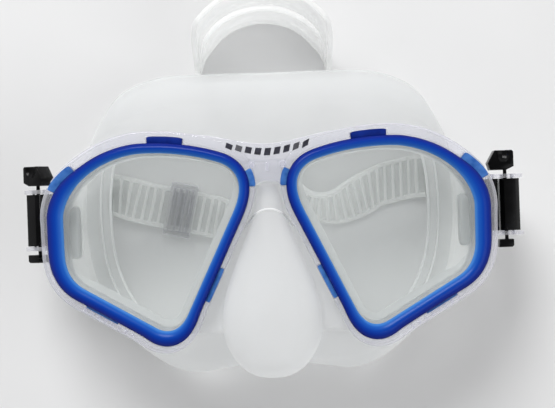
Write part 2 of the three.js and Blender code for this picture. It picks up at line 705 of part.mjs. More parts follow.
const mask = new THREE.Group();

function place(parent, name, geometry, look) {
  const mesh = new THREE.Mesh(geometry, new THREE.MeshStandardMaterial(look));
  mesh.name = name;
  parent.add(mesh);
  return mesh;
}

place(mask, 'frame', frame(), clearPlastic);
place(mask, 'skirt', skirt(), silicone);
place(mask, 'strap', strap(), silicone);

const keeper = place(mask, 'strap_keeper', strapKeeper(), clearPlastic);
keeper.position.set(KEEPER.x, KEEPER.y, 0);
keeper.rotation.z = KEEPER.angle;

const SIDES = [
  { side: 'right', sign: 1, swing: 0, end: RIGHT_END },
  { side: 'left', sign: -1, swing: LEFT_SWING, end: LEFT_END },
];

for (const { side, sign, swing, end } of SIDES) {
  const handed = (geometry) => (sign > 0 ? geometry : mirrored(geometry));
  const atFrame = (name, geometry, look) => place(mask, `${name}_${side}`, handed(geometry), look);
  atFrame('lens_ring', lensRing(), bluePlastic);
  atFrame('lens', lens(), glass);
  atFrame('buckle_anchor', buckleAnchor(), blackPlastic);
  atFrame('swivel_pin', rodY(HINGE, PIN_RADIUS, PIN_Y), steel);
  atFrame('strap_end', strapEnd(swing, end.tail, end.main), silicone);

  const buckle = new THREE.Group();
  buckle.position.set(sign * HINGE.x, 0, HINGE.z);
  buckle.rotation.y = sign * swing;
  mask.add(buckle);
  const onBuckle = (name, geometry, look) => place(buckle, `${name}_${side}`, handed(geometry), look);
  onBuckle('buckle_frame', buckleFrame(), clearPlastic);
  onBuckle('buckle_cover', buckleCover(), blackPlastic);
  onBuckle('roller_axle', rodY(ROLLER, PIN_RADIUS, PIN_Y), steel);
  onBuckle('strap_roller', tubeY(ROLLER, PIN_RADIUS + GAP, ROLLER_RADIUS, COVER_Y, 18), blackPlastic);
  onBuckle('strap_pawl', strapPawl(), blackPlastic);
  onBuckle('pawl_pin', rodY(PAWL, FINE_PIN_RADIUS, PIN_Y, 8), steel);
  onBuckle('release_button_upper', upperButton(), blackPlastic);
  onBuckle('release_button_lower', lowerButton(), blackPlastic);
  const springY = [LOWER_STEM_TIP + GAP, UPPER_STEM_TIP - GAP];
  onBuckle('return_spring', tubeY(STEM, 0.4, STEM_RADIUS, springY, 8), steel);
}

// The origin is the middle of the footprint, on the floor.
mask.updateMatrixWorld(true);
const bounds = new THREE.Box3().setFromObject(mask, true);
const centre = bounds.getCenter(new THREE.Vector3());
mask.position.set(-centre.x, -centre.y, -bounds.min.z);

export default mask;
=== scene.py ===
"""Looks for a twin-lens diving mask that lies face up with its strap folded underneath."""
import math

import bmesh
import bpy
import numpy as np
from mathutils import Matrix, Vector

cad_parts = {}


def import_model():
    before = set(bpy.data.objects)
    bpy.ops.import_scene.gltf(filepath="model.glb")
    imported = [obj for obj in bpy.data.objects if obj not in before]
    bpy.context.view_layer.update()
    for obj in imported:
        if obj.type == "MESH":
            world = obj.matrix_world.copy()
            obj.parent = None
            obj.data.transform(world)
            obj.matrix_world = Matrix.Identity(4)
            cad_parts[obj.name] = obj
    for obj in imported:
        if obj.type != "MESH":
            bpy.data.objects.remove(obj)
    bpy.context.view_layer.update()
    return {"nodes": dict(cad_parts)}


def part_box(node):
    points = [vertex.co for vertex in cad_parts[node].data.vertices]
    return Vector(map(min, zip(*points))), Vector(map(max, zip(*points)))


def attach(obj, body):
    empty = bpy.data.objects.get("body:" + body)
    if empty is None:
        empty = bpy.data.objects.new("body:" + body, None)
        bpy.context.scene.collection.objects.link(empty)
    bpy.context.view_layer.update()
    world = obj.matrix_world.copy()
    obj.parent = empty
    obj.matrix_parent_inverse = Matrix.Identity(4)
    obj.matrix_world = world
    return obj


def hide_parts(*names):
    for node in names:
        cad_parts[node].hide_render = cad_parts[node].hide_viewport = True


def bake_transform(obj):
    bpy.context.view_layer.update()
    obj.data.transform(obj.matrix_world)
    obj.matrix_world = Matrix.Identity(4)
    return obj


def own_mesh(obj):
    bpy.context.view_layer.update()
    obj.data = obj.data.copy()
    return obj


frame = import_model()

# Shapes are drawn in millimetres from the point on the floor below the middle of the bridge.
# The right buckle's swivel pin is at a known place there, which gives the shift to the row frame.
STRAP_CENTRE_Y = -3.15
HINGE = (82.0, 46.0)
pin_low, pin_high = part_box("swivel_pin_right")
ORIGIN = np.array((pin_low + pin_high) / 2) - np.array([HINGE[0], STRAP_CENTRE_Y, HINGE[1]]) / 1000
SIDES = (("right", 1), ("left", -1))
CORNERS = ((1, 1), (-1, 1), (-1, -1), (1, -1))
TINY = 1e-4


def to_row(points):
    """Points in millimetres as metres in the row frame."""
    return np.asarray(points, float) / 1000 + ORIGIN


# ---- mesh tools ----


def placed(name, data):
    """A new object in the scene."""
    obj = bpy.data.objects.new(name, data)
    bpy.context.scene.collection.objects.link(obj)
    return obj


def new_object(name, points, faces, uv=None):
    """A mesh from points in millimetres. uv holds one pair per point."""
    mesh = bpy.data.meshes.new(name)
    mesh.from_pydata(to_row(points).tolist(), [], [tuple(int(i) for i in f) for f in faces])
    if uv is not None:
        index = np.empty(len(mesh.loops), dtype=np.int32)
        mesh.loops.foreach_get("vertex_index", index)
        mesh.uv_layers.new(name="UVMap").data.foreach_set("uv", np.asarray(uv, float)[index].ravel())
    obj = placed(name, mesh)
    outward(obj)
    return obj


def outward(obj):
    bm = bmesh.new()
    bm.from_mesh(obj.data)
    bmesh.ops.recalc_face_normals(bm, faces=bm.faces)
    bm.to_mesh(obj.data)
    bm.free()


def smooth(obj, angle=35):
    obj.data.shade_smooth()
    obj.data.set_sharp_from_angle(angle=math.radians(angle))


def loft(loops, ring=False):
    """Faces that join closed loops of equal length. The ends are closed by a fan, or the last
    loop is joined to the first."""
    loops = np.asarray(loops, float)
    rows, count = loops.shape[:2]
    points = loops.reshape(-1, 3)
    faces = []
    for row in range(rows if ring else rows - 1):
        a, b = row * count, ((row + 1) % rows) * count
        faces += [(a + i, a + (i + 1) % count, b + (i + 1) % count, b + i) for i in range(count)]
    if not ring:
        for row in (0, rows - 1):
            tip = len(points)
            points = np.vstack([points, loops[row].mean(0)])
            faces += [(tip, row * count + i, row * count + (i + 1) % count) for i in range(count)]
    return points, faces


def loft_object(name, loops, ring=False, angle=35, uv=None):
    points, faces = loft(loops, ring)
    obj = new_object(name, points, faces, uv)
    smooth(obj, angle)
    return obj


def modify(obj, kind, **settings):
    """Adds a modifier and applies it."""
    modifier = obj.modifiers.new(kind.title(), kind)
    for key, value in settings.items():
        setattr(modifier, key, value)
    bpy.context.view_layer.update()
    depsgraph = bpy.context.evaluated_depsgraph_get()
    mesh = bpy.data.meshes.new_from_object(obj.evaluated_get(depsgraph))
    obj.modifiers.remove(modifier)
    old, obj.data = obj.data, mesh
    bpy.data.meshes.remove(old)


def bevel(obj, width, segments, angle):
    """Rounds the edges that turn by more than an angle. The width is in metres."""
    limit = math.radians(angle)
    modify(obj, "BEVEL", width=width, segments=segments, limit_method="ANGLE", angle_limit=limit)


def boolean(obj, others, operation):
    for other in others:
        modify(obj, "BOOLEAN", object=other, operation=operation, solver="EXACT")
        bpy.data.objects.remove(other)


def joined(name, objects):
    """One object with the meshes of several."""
    bm = bmesh.new()
    for obj in objects:
        bm.from_mesh(obj.data)
    mesh = bpy.data.meshes.new(name)
    bm.to_mesh(mesh)
    bm.free()
    for obj in objects:
        bpy.data.objects.remove(obj)
    return placed(name, mesh)


def sided(points, sign):
    """Points drawn on the right, mirrored where the sign is -1."""
    return np.asarray(points, float) * [sign, 1, 1]


def unit(rows):
    """Each row as a vector of length 1."""
    return rows / np.linalg.norm(rows, axis=1)[:, None]


def lengths(path):
    """How far along a path each of its points lies."""
    return np.concatenate([[0], np.cumsum(np.linalg.norm(np.diff(path, axis=0), axis=1))])


def full_turn(count):
    """Evenly spaced angles round a circle."""
    return np.linspace(0, 2 * math.pi, count, endpoint=False)


def catmull(points, steps, closed=False):
    """Points along a centripetal Catmull-Rom curve, evenly spaced in its parameter."""
    p = np.asarray(points, float)
    if closed:
        p = np.vstack([p[-1:], p, p[:2]])
    else:
        p = np.vstack([2 * p[0] - p[1], p, 2 * p[-1] - p[-2]])
    spans = len(p) - 3
    result = []
    for k in range(steps if closed else steps + 1):
        place = k / steps * spans
        i = min(int(place), spans - 1)
        t = place - i
        q = p[i:i + 4]
        d0, d1, d2 = (np.linalg.norm(q[j + 1] - q[j]) ** 0.5 for j in range(3))
        d1 = 1.0 if d1 < TINY else d1
        d0 = d1 if d0 < TINY else d0
        d2 = d1 if d2 < TINY else d2
        m1 = ((q[1] - q[0]) / d0 - (q[2] - q[0]) / (d0 + d1) + (q[2] - q[1]) / d1) * d1
        m2 = ((q[2] - q[1]) / d1 - (q[3] - q[1]) / (d1 + d2) + (q[3] - q[2]) / d2) * d1
        result.append(
            (2 * t**3 - 3 * t**2 + 1) * q[1] + (t**3 - 2 * t**2 + t) * m1
            + (-2 * t**3 + 3 * t**2) * q[2] + (t**3 - t**2) * m2
        )
    return np.array(result)


def blur_round(values, reach):
    """Smooths a closed list of values by a bell curve with that reach in samples."""
    n = len(values)
    away = np.minimum(np.arange(n), n - np.arange(n))
    bell = np.exp(-0.5 * (away / reach) ** 2)
    bell /= bell.sum()
    spread = np.fft.fft(bell)
    values = np.asarray(values, float)
    if values.ndim == 1:
        return np.fft.ifft(np.fft.fft(values) * spread).real
    return np.stack([np.fft.ifft(np.fft.fft(c) * spread).real for c in values.T], axis=1)


def smoothstep(x, low, high):
    t = np.clip((np.asarray(x, float) - low) / (high - low), 0, 1)
    return t * t * (3 - 2 * t)


# ---- materials ----


class Look:
    """Builds one node material."""

    def __init__(self, name):
        self.material = bpy.data.materials.new(name)
        self.material.use_nodes = True
        self.nodes = self.material.node_tree.nodes
        self.links = self.material.node_tree.links
        self.shader = self.nodes["Principled BSDF"]
        self.output = self.nodes["Material Output"]
        self.place = self.add("ShaderNodeTexCoord").outputs["Object"]

    def add(self, kind, **settings):
        node = self.nodes.new(kind)
        for key, value in settings.items():
            setattr(node, key, value)
        return node

    def link(self, output, socket):
        self.links.new(output, socket)

    def noise(self, scale, detail, stretch=(1, 1, 1)):
        mapping = self.add("ShaderNodeMapping")
        mapping.inputs["Scale"].default_value = stretch
        node = self.add("ShaderNodeTexNoise")
        node.inputs["Scale"].default_value = scale
        node.inputs["Detail"].default_value = detail
        node.inputs["Roughness"].default_value = 0.55
        self.link(self.place, mapping.inputs["Vector"])
        self.link(mapping.outputs["Vector"], node.inputs["Vector"])
        return node.outputs["Fac"]

    def ramp(self, source, stops):
        """A colour from a value between 0 and 1."""
        node = self.add("ShaderNodeValToRGB")
        elements = node.color_ramp.elements
        while len(elements) < len(stops):
            elements.new(0.5)
        for element, (position, colour) in zip(elements, stops):
            element.position = position
            element.color = (*colour, 1)
        self.link(source, node.inputs["Fac"])
        return node.outputs["Color"]

    def span(self, source, low, high):
        """A value between 0 and 1, spread from low to high."""
        node = self.add("ShaderNodeMapRange")
        node.inputs["To Min"].default_value = low
        node.inputs["To Max"].default_value = high
        self.link(source, node.inputs["Value"])
        return node.outputs["Result"]

    def blend(self, factor, first, second):
        node = self.add("ShaderNodeMix", data_type="RGBA")
        self.link(factor, node.inputs[0])
        self.link(first, node.inputs[6])
        node.inputs[7].default_value = (*second, 1)
        return node.outputs[2]

    def bump(self, height, strength, distance):
        node = self.add("ShaderNodeBump")
        node.inputs["Strength"].default_value = strength
        node.inputs["Distance"].default_value = distance
        self.link(height, node.inputs["Height"])
        return node.outputs["Normal"]

    def set(self, **values):
        """Sets the shader's inputs to values or to the outputs of other nodes."""
        for key, value in values.items():
            socket = self.shader.inputs[key.replace("_", " ")]
            if isinstance(value, bpy.types.NodeSocket):
                self.link(value, socket)
            else:
                socket.default_value = value

    def see_through(self, share, tint=(1, 1, 1), translucent=0.0, glow=(1, 1, 1)):
        """Lets a share of the light straight through, and spreads another share behind."""
        surface = self.shader.outputs["BSDF"]
        if translucent:
            leaf = self.add("ShaderNodeBsdfTranslucent")
            leaf.inputs["Color"].default_value = (*glow, 1)
            mix = self.add("ShaderNodeMixShader")
            mix.inputs["Fac"].default_value = translucent
            self.link(surface, mix.inputs[1])
            self.link(leaf.outputs["BSDF"], mix.inputs[2])
            surface = mix.outputs["Shader"]
        clear = self.add("ShaderNodeBsdfTransparent")
        clear.inputs["Color"].default_value = (*tint, 1)
        mix = self.add("ShaderNodeMixShader")
        if isinstance(share, bpy.types.NodeSocket):
            self.link(share, mix.inputs["Fac"])
        else:
            mix.inputs["Fac"].default_value = share
        self.link(surface, mix.inputs[1])
        self.link(clear.outputs["BSDF"], mix.inputs[2])
        self.link(mix.outputs["Shader"], self.output.inputs["Surface"])


def blue_plastic():
    """Deep translucent blue, painted azure at the thin inner edge and navy towards the outer edge: partly
    the plastic's own deeper colour where it is thick, partly painted shade on the outer slope and painted
    glow where light shines through the thin edge.
    """
    look = Look("blue_plastic")
    uv = look.add("ShaderNodeUVMap", uv_map="UVMap").outputs["UV"]
    across = look.add("ShaderNodeSeparateXYZ")
    look.link(uv, across.inputs["Vector"])
    # The ramp across the ring paints shade towards the outer edge and a glow of light at the thin inner
    # edge, on top of the deeper blue of the thicker section.
    colour = look.ramp(across.outputs["X"], [
        (0.0, (0.07, 0.25, 0.62)), (0.18, (0.012, 0.095, 0.42)), (0.45, (0.003, 0.04, 0.31)),
        (0.75, (0.001, 0.014, 0.22)), (0.9, (0.0008, 0.007, 0.16)), (1.0, (0.0005, 0.004, 0.12)),
    ])
    cloud = look.noise(60, 2)
    colour = look.blend(look.span(cloud, 0.0, 0.16), colour, (0.004, 0.07, 0.45))
    fine = look.noise(900, 2)
    look.set(
        Base_Color=colour, Roughness=look.span(fine, 0.2, 0.28), Specular_IOR_Level=0.11,
        Normal=look.bump(fine, 0.02, 0.0001),
    )
    return look.material


def tab_plastic(name, deep, light):
    look = Look(name)
    streak = look.noise(300, 2, stretch=(1, 1, 0.2))
    look.set(
        Base_Color=look.ramp(streak, [(0.3, deep), (0.7, light)]),
        Roughness=look.span(streak, 0.25, 0.4), Specular_IOR_Level=0.1,
    )
    return look.material


def clear_plastic(name="clear_polycarbonate", tint=(0.965, 0.965, 0.99), share=0.8):
    """Polished clear plastic with a cool tint that deepens where the surface turns away."""
    look = Look(name)
    wave = look.noise(45, 2)
    edge = look.add("ShaderNodeLayerWeight")
    edge.inputs["Blend"].default_value = 0.35
    colour = look.ramp(wave, [(0.35, (0.9, 0.9, 0.96)), (0.65, (0.99, 0.99, 1.0))])
    look.set(
        Base_Color=colour, Roughness=look.span(look.noise(250, 2), 0.05, 0.12),
        Specular_IOR_Level=0.9, Coat_Weight=0.6, Coat_Roughness=0.04,
    )
    share = look.span(edge.outputs["Facing"], share, share * 0.3)
    look.see_through(share, tint, translucent=0.45, glow=(0.96, 0.96, 0.99))
    return look.material


def frosted_silicone(name, share, translucent):
    """Milky silicone that lets a share of the light straight through and glows with the rest."""
    look = Look(name)
    cloud = look.noise(35, 3)
    colour = look.ramp(cloud, [(0.3, (0.9, 0.905, 0.91)), (0.7, (0.95, 0.95, 0.955))])
    grain = look.noise(1500, 2)
    look.set(
        Base_Color=colour, Roughness=look.span(grain, 0.42, 0.56), Specular_IOR_Level=0.35,
        Sheen_Weight=0.15, Normal=look.bump(grain, 0.05, 0.0001),
    )
    look.see_through(share, (0.99, 0.992, 0.992), translucent, glow=(0.98, 0.985, 0.985))
    return look.material


def clear_silicone():
    """Clear silicone: bright on its ribs and rims, and easier to see through between them."""
    look = Look("clear_silicone")
    uv = look.add("ShaderNodeUVMap", uv_map="UVMap").outputs["UV"]
    solid = look.add("ShaderNodeSeparateXYZ")
    look.link(uv, solid.inputs["Vector"])
    cloud = look.noise(50, 3)
    thin = look.ramp(cloud, [(0.3, (0.84, 0.85, 0.85)), (0.7, (0.92, 0.93, 0.925))])
    look.set(
        Base_Color=look.blend(solid.outputs["X"], thin, (0.985, 0.985, 0.98)),
        Roughness=look.span(look.noise(400, 2), 0.14, 0.26), Specular_IOR_Level=0.5,
    )
    share = look.span(solid.outputs["X"], 0.6, 0.26)
    look.see_through(share, (0.985, 0.99, 0.99), translucent=0.5, glow=(0.98, 0.985, 0.98))
    return look.material


def tempered_glass():
    look = Look("tempered_glass")
    smudge = look.noise(18, 4)
    look.set(
        Base_Color=look.ramp(smudge, [(0.3, (0.8, 0.86, 0.84)), (0.7, (0.9, 0.93, 0.92))]),
        Roughness=look.span(smudge, 0.02, 0.05), Specular_IOR_Level=0.6,
    )
    edge = look.add("ShaderNodeFresnel")
    edge.inputs["IOR"].default_value = 1.5
    look.see_through(look.span(edge.outputs["Fac"], 0.99, 0.3), (0.985, 0.995, 0.99))
    return look.material


def black_plastic():
    look = Look("black_plastic")
    grain = look.noise(1200, 2)
    wear = look.noise(90, 4)
    look.set(
        Base_Color=look.ramp(wear, [(0.4, (0.001, 0.001, 0.0012)), (0.75, (0.005, 0.005, 0.006))]),
        Roughness=look.span(wear, 0.16, 0.3), Specular_IOR_Level=0.14,
        Normal=look.bump(grain, 0.06, 0.0001),
    )
    return look.material


def steel():
    look = Look("stainless_steel")
    brushed = look.noise(700, 3, stretch=(1, 0.08, 1))
    look.set(
        Base_Color=look.ramp(brushed, [(0.3, (0.5, 0.51, 0.53)), (0.7, (0.72, 0.73, 0.75))]),
        Metallic=1.0, Roughness=look.span(brushed, 0.14, 0.3),
    )
    return look.material


def dark_print():
    look = Look("dark_print")
    fade = look.noise(500, 2)
    look.set(
        Base_Color=look.ramp(fade, [(0.3, (0.006, 0.006, 0.012)), (0.75, (0.03, 0.03, 0.05))]),
        Roughness=look.span(fade, 0.3, 0.5),
    )
    return look.material


def floor_cloth():
    look = Look("pale_floor")
    cloud = look.noise(6, 3)
    look.set(
        Base_Color=look.ramp(cloud, [(0.3, (0.70, 0.70, 0.703)), (0.7, (0.735, 0.735, 0.738))]),
        Roughness=0.9, Specular_IOR_Level=0.1,
    )
    return look.material


BLUE = blue_plastic()
TAB_DARK = tab_plastic("blue_tab_dark", (0.002, 0.012, 0.14), (0.004, 0.022, 0.21))
TAB_LIGHT = tab_plastic("blue_tab_light", (0.02, 0.09, 0.33), (0.07, 0.2, 0.52))
CLEAR = clear_plastic()
KEEPER_LOOK = clear_plastic("clear_keeper", (0.995, 0.995, 0.998), 0.8)
SKIRT = frosted_silicone("frosted_silicone", 0.46, 0.68)
BEAD = frosted_silicone("bright_silicone", 0.05, 0.3)
PAD = frosted_silicone("thick_silicone", 0.1, 0.4)
STRAP = clear_silicone()
GLASS = tempered_glass()
BLACK = black_plastic()
STEEL = steel()
PRINT = dark_print()


def finish_piece(obj, look, body, *replaced):
    """Gives a piece its look, the body that it rides on and the CAD nodes that it stands for."""
    obj.data.materials.clear()
    obj.data.materials.append(look)
    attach(obj, body)
    if replaced:
        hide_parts(*replaced)


# ---- the outline that the lens, ring and frame share ----

# The two halves of the frame fall away to the sides from just beyond the middle.
WRAP_SLOPE = math.tan(math.radians(5))
WRAP_START = 6.0
RIM_STEPS, SEGMENT_STEPS = 260, 80
CORNER_BLUR, WIDTH_BLUR = 1.2, 4
# Heights above the floor, before that fall.
PLATE_TOP, FRAME_BACK, LEDGE_TOP, FRAME_FRONT = 57.4, 58.0, 60.0, 66.5
GASKET_BOTTOM, GASKET_TOP, RING_LIP_BOTTOM = 60.3, 61.8, 65.9
RING_SHOULDER, RING_CROWN = 66.6, 68.2
GLASS_MARGIN, LEDGE_MARGIN, GAP = 2.0, 1.2, 0.3

OUTLINE = [
    [(30.2, -38.8), (12.6, -2.3)],
    [(12.6, -2.3), (10.2, 2.8), (7.7, 11), (16.2, 15)],
    [(16.2, 15), (25.5, 18.4), (37, 20), (47, 19.4)],
    [(47, 19.4), (60.5, 17.8), (72.2, 9.3), (73.9, -2)],
    [(73.9, -2), (73.7, -16.5)],
    [(73.7, -16.5), (73.3, -22), (71.2, -25.8), (67, -28.2)],
    [(67, -28.2), (42.3, -42.4)],
    [(42.3, -42.4), (38, -45.4), (33.2, -44.6), (30.2, -38.8)],
]
# Widths of the blue ring and of the clear border beyond it, by the way the rim faces there.
RING_WIDTH = [
    (-180, 3.8), (-154, 3.8), (-118, 5), (-90, 6.4), (-60, 4.9), (-30, 5.4), (0, 6), (30, 5.8),
    (50, 4), (90, 3.7), (180, 3.8),
]
BORDER_WIDTH = [
    (-180, 1.6), (-150, 1.5), (-90, 2.4), (-60, 2.6), (0, 2), (45, 3.4), (90, 4), (130, 3.6),
    (165, 1.8), (180, 1.6),
]


def wrap_drop(x):
    """How far the frame has fallen away at a distance from the middle."""
    return -WRAP_SLOPE * np.maximum(0, np.abs(x) - WRAP_START)


def outline_points():
    """The outline's curves as evenly spaced points, and its length."""
    dense = []
    for segment in OUTLINE:
        p = np.array(segment, float)
        t = np.linspace(0, 1, SEGMENT_STEPS, endpoint=False)[:, None]
        if len(p) == 2:
            dense.append(p[0] * (1 - t) + p[1] * t)
        else:
            dense.append(
                p[0] * (1 - t) ** 3 + 3 * p[1] * t * (1 - t) ** 2
                + 3 * p[2] * t**2 * (1 - t) + p[3] * t**3
            )
    closed = np.vstack([*dense, dense[0][:1]])
    length = lengths(closed)
    wanted = np.linspace(0, length[-1], RIM_STEPS, endpoint=False)
    even = np.stack([np.interp(wanted, length, closed[:, k]) for k in (0, 1)], axis=1)
    return blur_round(even, CORNER_BLUR), length[-1]


RIM, RIM_LENGTH = outline_points()
tangent = unit(np.roll(RIM, -1, 0) - np.roll(RIM, 1, 0))
NORMAL = np.stack([-tangent[:, 1], tangent[:, 0]], axis=1)
FACING = np.degrees(np.arctan2(NORMAL[:, 1], NORMAL[:, 0]))
RING_EDGE = blur_round(np.interp(FACING, *zip(*RING_WIDTH)), WIDTH_BLUR)
FRAME_EDGE = RING_EDGE + GAP + blur_round(np.interp(FACING, *zip(*BORDER_WIDTH)), WIDTH_BLUR)


def rim(offset, z):
    """The rim's outline moved outward by an offset, at a height, dropped by the wrap."""
    xy = RIM + NORMAL * (np.zeros(RIM_STEPS) + offset)[:, None]
    return np.column_stack([xy, np.zeros(RIM_STEPS) + z + wrap_drop(xy[:, 0])])


def rim_loops(profile, sign):
    """The rim's outline at each offset and height of a section, on one side."""
    return [sided(rim(offset, z), sign) for offset, z in profile]


def rim_part(centre, length, offsets, z):
    """Points beyond the ring, along a stretch of the rim round a fraction of its length."""
    steps = np.linspace(-0.5, 0.5, len(offsets)) * length / RIM_LENGTH * RIM_STEPS + centre * RIM_STEPS

    def at(values):
        return np.interp(steps, np.arange(RIM_STEPS), values, period=RIM_STEPS)

    xy = np.stack([at(RIM[:, k]) for k in (0, 1)], axis=1)
    out = np.stack([at(NORMAL[:, k]) for k in (0, 1)], axis=1)
    xy = xy + out * (at(RING_EDGE) + offsets)[:, None]
    return np.column_stack([xy, z + wrap_drop(xy[:, 0])])


def nearest_fraction(point):
    """Which fraction of the rim's length lies nearest to a point."""
    return float(np.argmin(np.linalg.norm(RIM - np.array(point), axis=1))) / RIM_STEPS


# ---- blue rings ----

RING_SECTION_STEPS, RING_ROUNDNESS, RING_SKEW = 24, 0.62, 0.15
# Each snap tab: its place beside the rim, its length, its reach beyond the ring, and its look.
TABS = [
    ((37, 19.4), 12.2, 2.4, TAB_DARK), ((69.5, 7.5), 8.8, 3, TAB_LIGHT),
    ((10.6, 8.2), 4.2, 2.2, TAB_LIGHT), ((24.2, -26.2), 13, 1.6, TAB_LIGHT),
    ((58, -33.4), 13, 0.7, TAB_LIGHT),
]
TAB_BOTTOM, TAB_TOP, TAB_STEPS = LEDGE_TOP + 2, 65.9, 13
TAB_UNDER_RING, TAB_END_TAPER = 0.3, 0.1


def ring_profile():
    """Offset from the inner edge, height and place across, for one section of the ring."""
    rows = []
    for k in range(RING_SECTION_STEPS + 1):
        t = k / RING_SECTION_STEPS
        rise = math.sin(math.pi * t) ** RING_ROUNDNESS
        skew = RING_SKEW * math.sin(math.pi * t)
        rows.append((t, RING_SHOULDER + (RING_CROWN - RING_SHOULDER) * rise + skew, t))
    rows += [(1.0, 66.0, 1.0), (1.0, 64.0, 1.0), (1.0, GASKET_BOTTOM, 1.0)]
    rows += [("in", GASKET_BOTTOM, 0.8), ("in", RING_LIP_BOTTOM, 0.3), (0.0, RING_LIP_BOTTOM, 0.0)]
    return rows


def lens_ring(side, sign):
    """Blue ring that holds the glass. Its UV.x runs from the inner edge to the outer one."""
    loops, uv = [], []
    for share, z, across in ring_profile():
        offset = GLASS_MARGIN + GAP if share == "in" else RING_EDGE * share
        loops.append(sided(rim(offset, z), sign))
        uv += [(across, i / RIM_STEPS) for i in range(RIM_STEPS)]
    obj = loft_object(f"ring_{side}", loops, ring=True, angle=50, uv=uv)
    finish_piece(obj, BLUE, "root", f"lens_ring_{side}")


def tab_block(name, sign, at, length, depth, grow, z0, z1):
    """Block of a tab's shape beside the ring, or of its notch where it grows by the gap."""
    inner, outer = -TAB_UNDER_RING - grow, depth + grow
    taper = 1 - TAB_END_TAPER * np.abs(np.linspace(-1, 1, TAB_STEPS)) ** 8
    near, far = np.full(TAB_STEPS, inner), inner + (outer - inner) * taper
    rows = [
        sided(rim_part(nearest_fraction(at), length + 2 * grow, offsets, z), sign)
        for offsets, z in ((near, z0), (near, z1), (far, z1), (far, z0))
    ]
    return loft_object(name, np.stack(rows, axis=1))


def ring_tabs(side, sign):
    for number, (at, length, depth, look) in enumerate(TABS, 1):
        tab = tab_block(f"ring_tab_{number}_{side}", sign, at, length, depth, 0, TAB_BOTTOM, TAB_TOP)
        bevel(tab, 0.0003, 3, angle=40)
        smooth(tab, 45)
        finish_piece(tab, look, "root")


# ---- clear frame ----


BRIDGE_TOP, BRIDGE_RISE, BRIDGE_HALF = 21.6, 4.2, 24.0
BRIDGE_STEP, BRIDGE_ROUNDING, FRAME_ROUNDING = 0.4, 0.5, 0.8
ARCH_RADIUS, ARCH_FOOT = 8.0, 0.4
RECESS_FLOOR, RECESS_HALF, RECESS_LOW = FRAME_FRONT - 1.7, 9.5, 11.2
STUD_X, STUD_Y, RIB_Y = 5.6, 14.2, 13.6
RUNGS, RUNG_WIDTH, RUNG_BOTTOM, RUNG_LIFT = 8, 1.1, 63.0, 0.25
RUNG_ENDS = (63, -28.7), (46, -38.6)
DASHES, DASH_PITCH, FIRST_DASH_X = 9, 3.4, -13.4
CUTTER_TOP = RING_CROWN + 2


def bridge_top(x):
    """The bridge's upper edge, which rises towards both lenses."""
    return BRIDGE_TOP + BRIDGE_RISE * smoothstep(np.abs(x), 0, 28)


def bridge_arch(x):
    """The bridge's lower edge: a round arch over the nose."""
    x = np.abs(np.asarray(x, float))
    arch = ARCH_FOOT + np.sqrt(np.maximum(ARCH_RADIUS**2 - x * x, 0))
    return np.where(x < WRAP_START + 1, arch, np.interp(x, [7, 9], [4.3, 4.0]))


def bridge_slab():
    xs = np.concatenate([
        np.linspace(-BRIDGE_HALF, -WRAP_START, 16, endpoint=False),
        np.linspace(-WRAP_START, WRAP_START, 17, endpoint=False),
        np.linspace(WRAP_START, BRIDGE_HALF, 17),
    ])
    front = FRAME_FRONT - BRIDGE_STEP - BRIDGE_ROUNDING
    sections = [(FRAME_BACK + 0.4, 0), (front, 0)]
    sections += [
        (front + BRIDGE_ROUNDING * math.sin(a), BRIDGE_ROUNDING * (1 - math.cos(a)))
        for a in (0.5, 1.0, math.pi / 2)
    ]
    loops = []
    for z, inset_by in sections:
        top = np.column_stack([xs, bridge_top(xs) - inset_by, z + wrap_drop(xs)])
        low = np.column_stack([xs, bridge_arch(xs) + inset_by, z + wrap_drop(xs)])[::-1]
        loops.append(np.vstack([top, low]))
    return loops


def strip_prism(name, loops):
    """A closed slab from outline loops whose points pair up across it."""
    loops = np.asarray(loops)
    rows, count = loops.shape[:2]
    points = loops.reshape(-1, 3)
    faces = []
    for row in range(rows - 1):
        a, b = row * count, (row + 1) * count
        faces += [(a + i, a + (i + 1) % count, b + (i + 1) % count, b + i) for i in range(count)]
    for row in (0, rows - 1):
        base = row * count
        faces += [
            (base + i, base + i + 1, base + count - 2 - i, base + count - 1 - i)
            for i in range(count // 2 - 1)
        ]
    return new_object(name, points, faces)


def frame_half(sign):
    """The clear ring round one lens, with the ledge that the glass rests on."""
    profile = [(LEDGE_MARGIN, FRAME_BACK), (FRAME_EDGE - 0.3, FRAME_BACK), (FRAME_EDGE, FRAME_BACK + 0.3)]
    profile += [(FRAME_EDGE, z) for z in (60.0, 62.0, 64.0, FRAME_FRONT - FRAME_ROUNDING)]
    profile += [
        (FRAME_EDGE - FRAME_ROUNDING * (1 - math.cos(a)), FRAME_FRONT - FRAME_ROUNDING * (1 - math.sin(a)))
        for a in (0.4, 0.8, 1.2, math.pi / 2)
    ]
    lip = RING_EDGE + GAP
    profile += [(lip + 0.2, FRAME_FRONT), (lip, FRAME_FRONT - 0.2)]
    profile += [(lip, LEDGE_TOP), (LEDGE_MARGIN, LEDGE_TOP)]
    return loft_object("frame_half", rim_loops(profile, sign), ring=True)


def lens_cutter(sign):
    """What the lens and its ring need clear of the bridge."""
    profile = [(RING_EDGE + GAP, z) for z in (LEDGE_TOP - 3, CUTTER_TOP)]
    return loft_object("pocket", rim_loops(profile, sign))


def clear_frame():
    body = strip_prism("frame_body", bridge_slab())
    boolean(body, [lens_cutter(1), lens_cutter(-1)], "DIFFERENCE")
    boolean(body, [frame_half(1), frame_half(-1)], "UNION")
    for sign in (1, -1):
        notches = [
            tab_block("notch", sign, at, length, depth, GAP, TAB_BOTTOM - GAP, CUTTER_TOP)
            for at, length, depth, _ in TABS
        ]
        boolean(body, [joined("notches", notches)], "DIFFERENCE")
    boolean(body, [bridge_recess()], "DIFFERENCE")
    body.name = "clear_frame"
    bevel(body, 0.00018, 2, angle=50)
    outward(body)
    smooth(body, 30)
    finish_piece(body, CLEAR, "root", "frame")


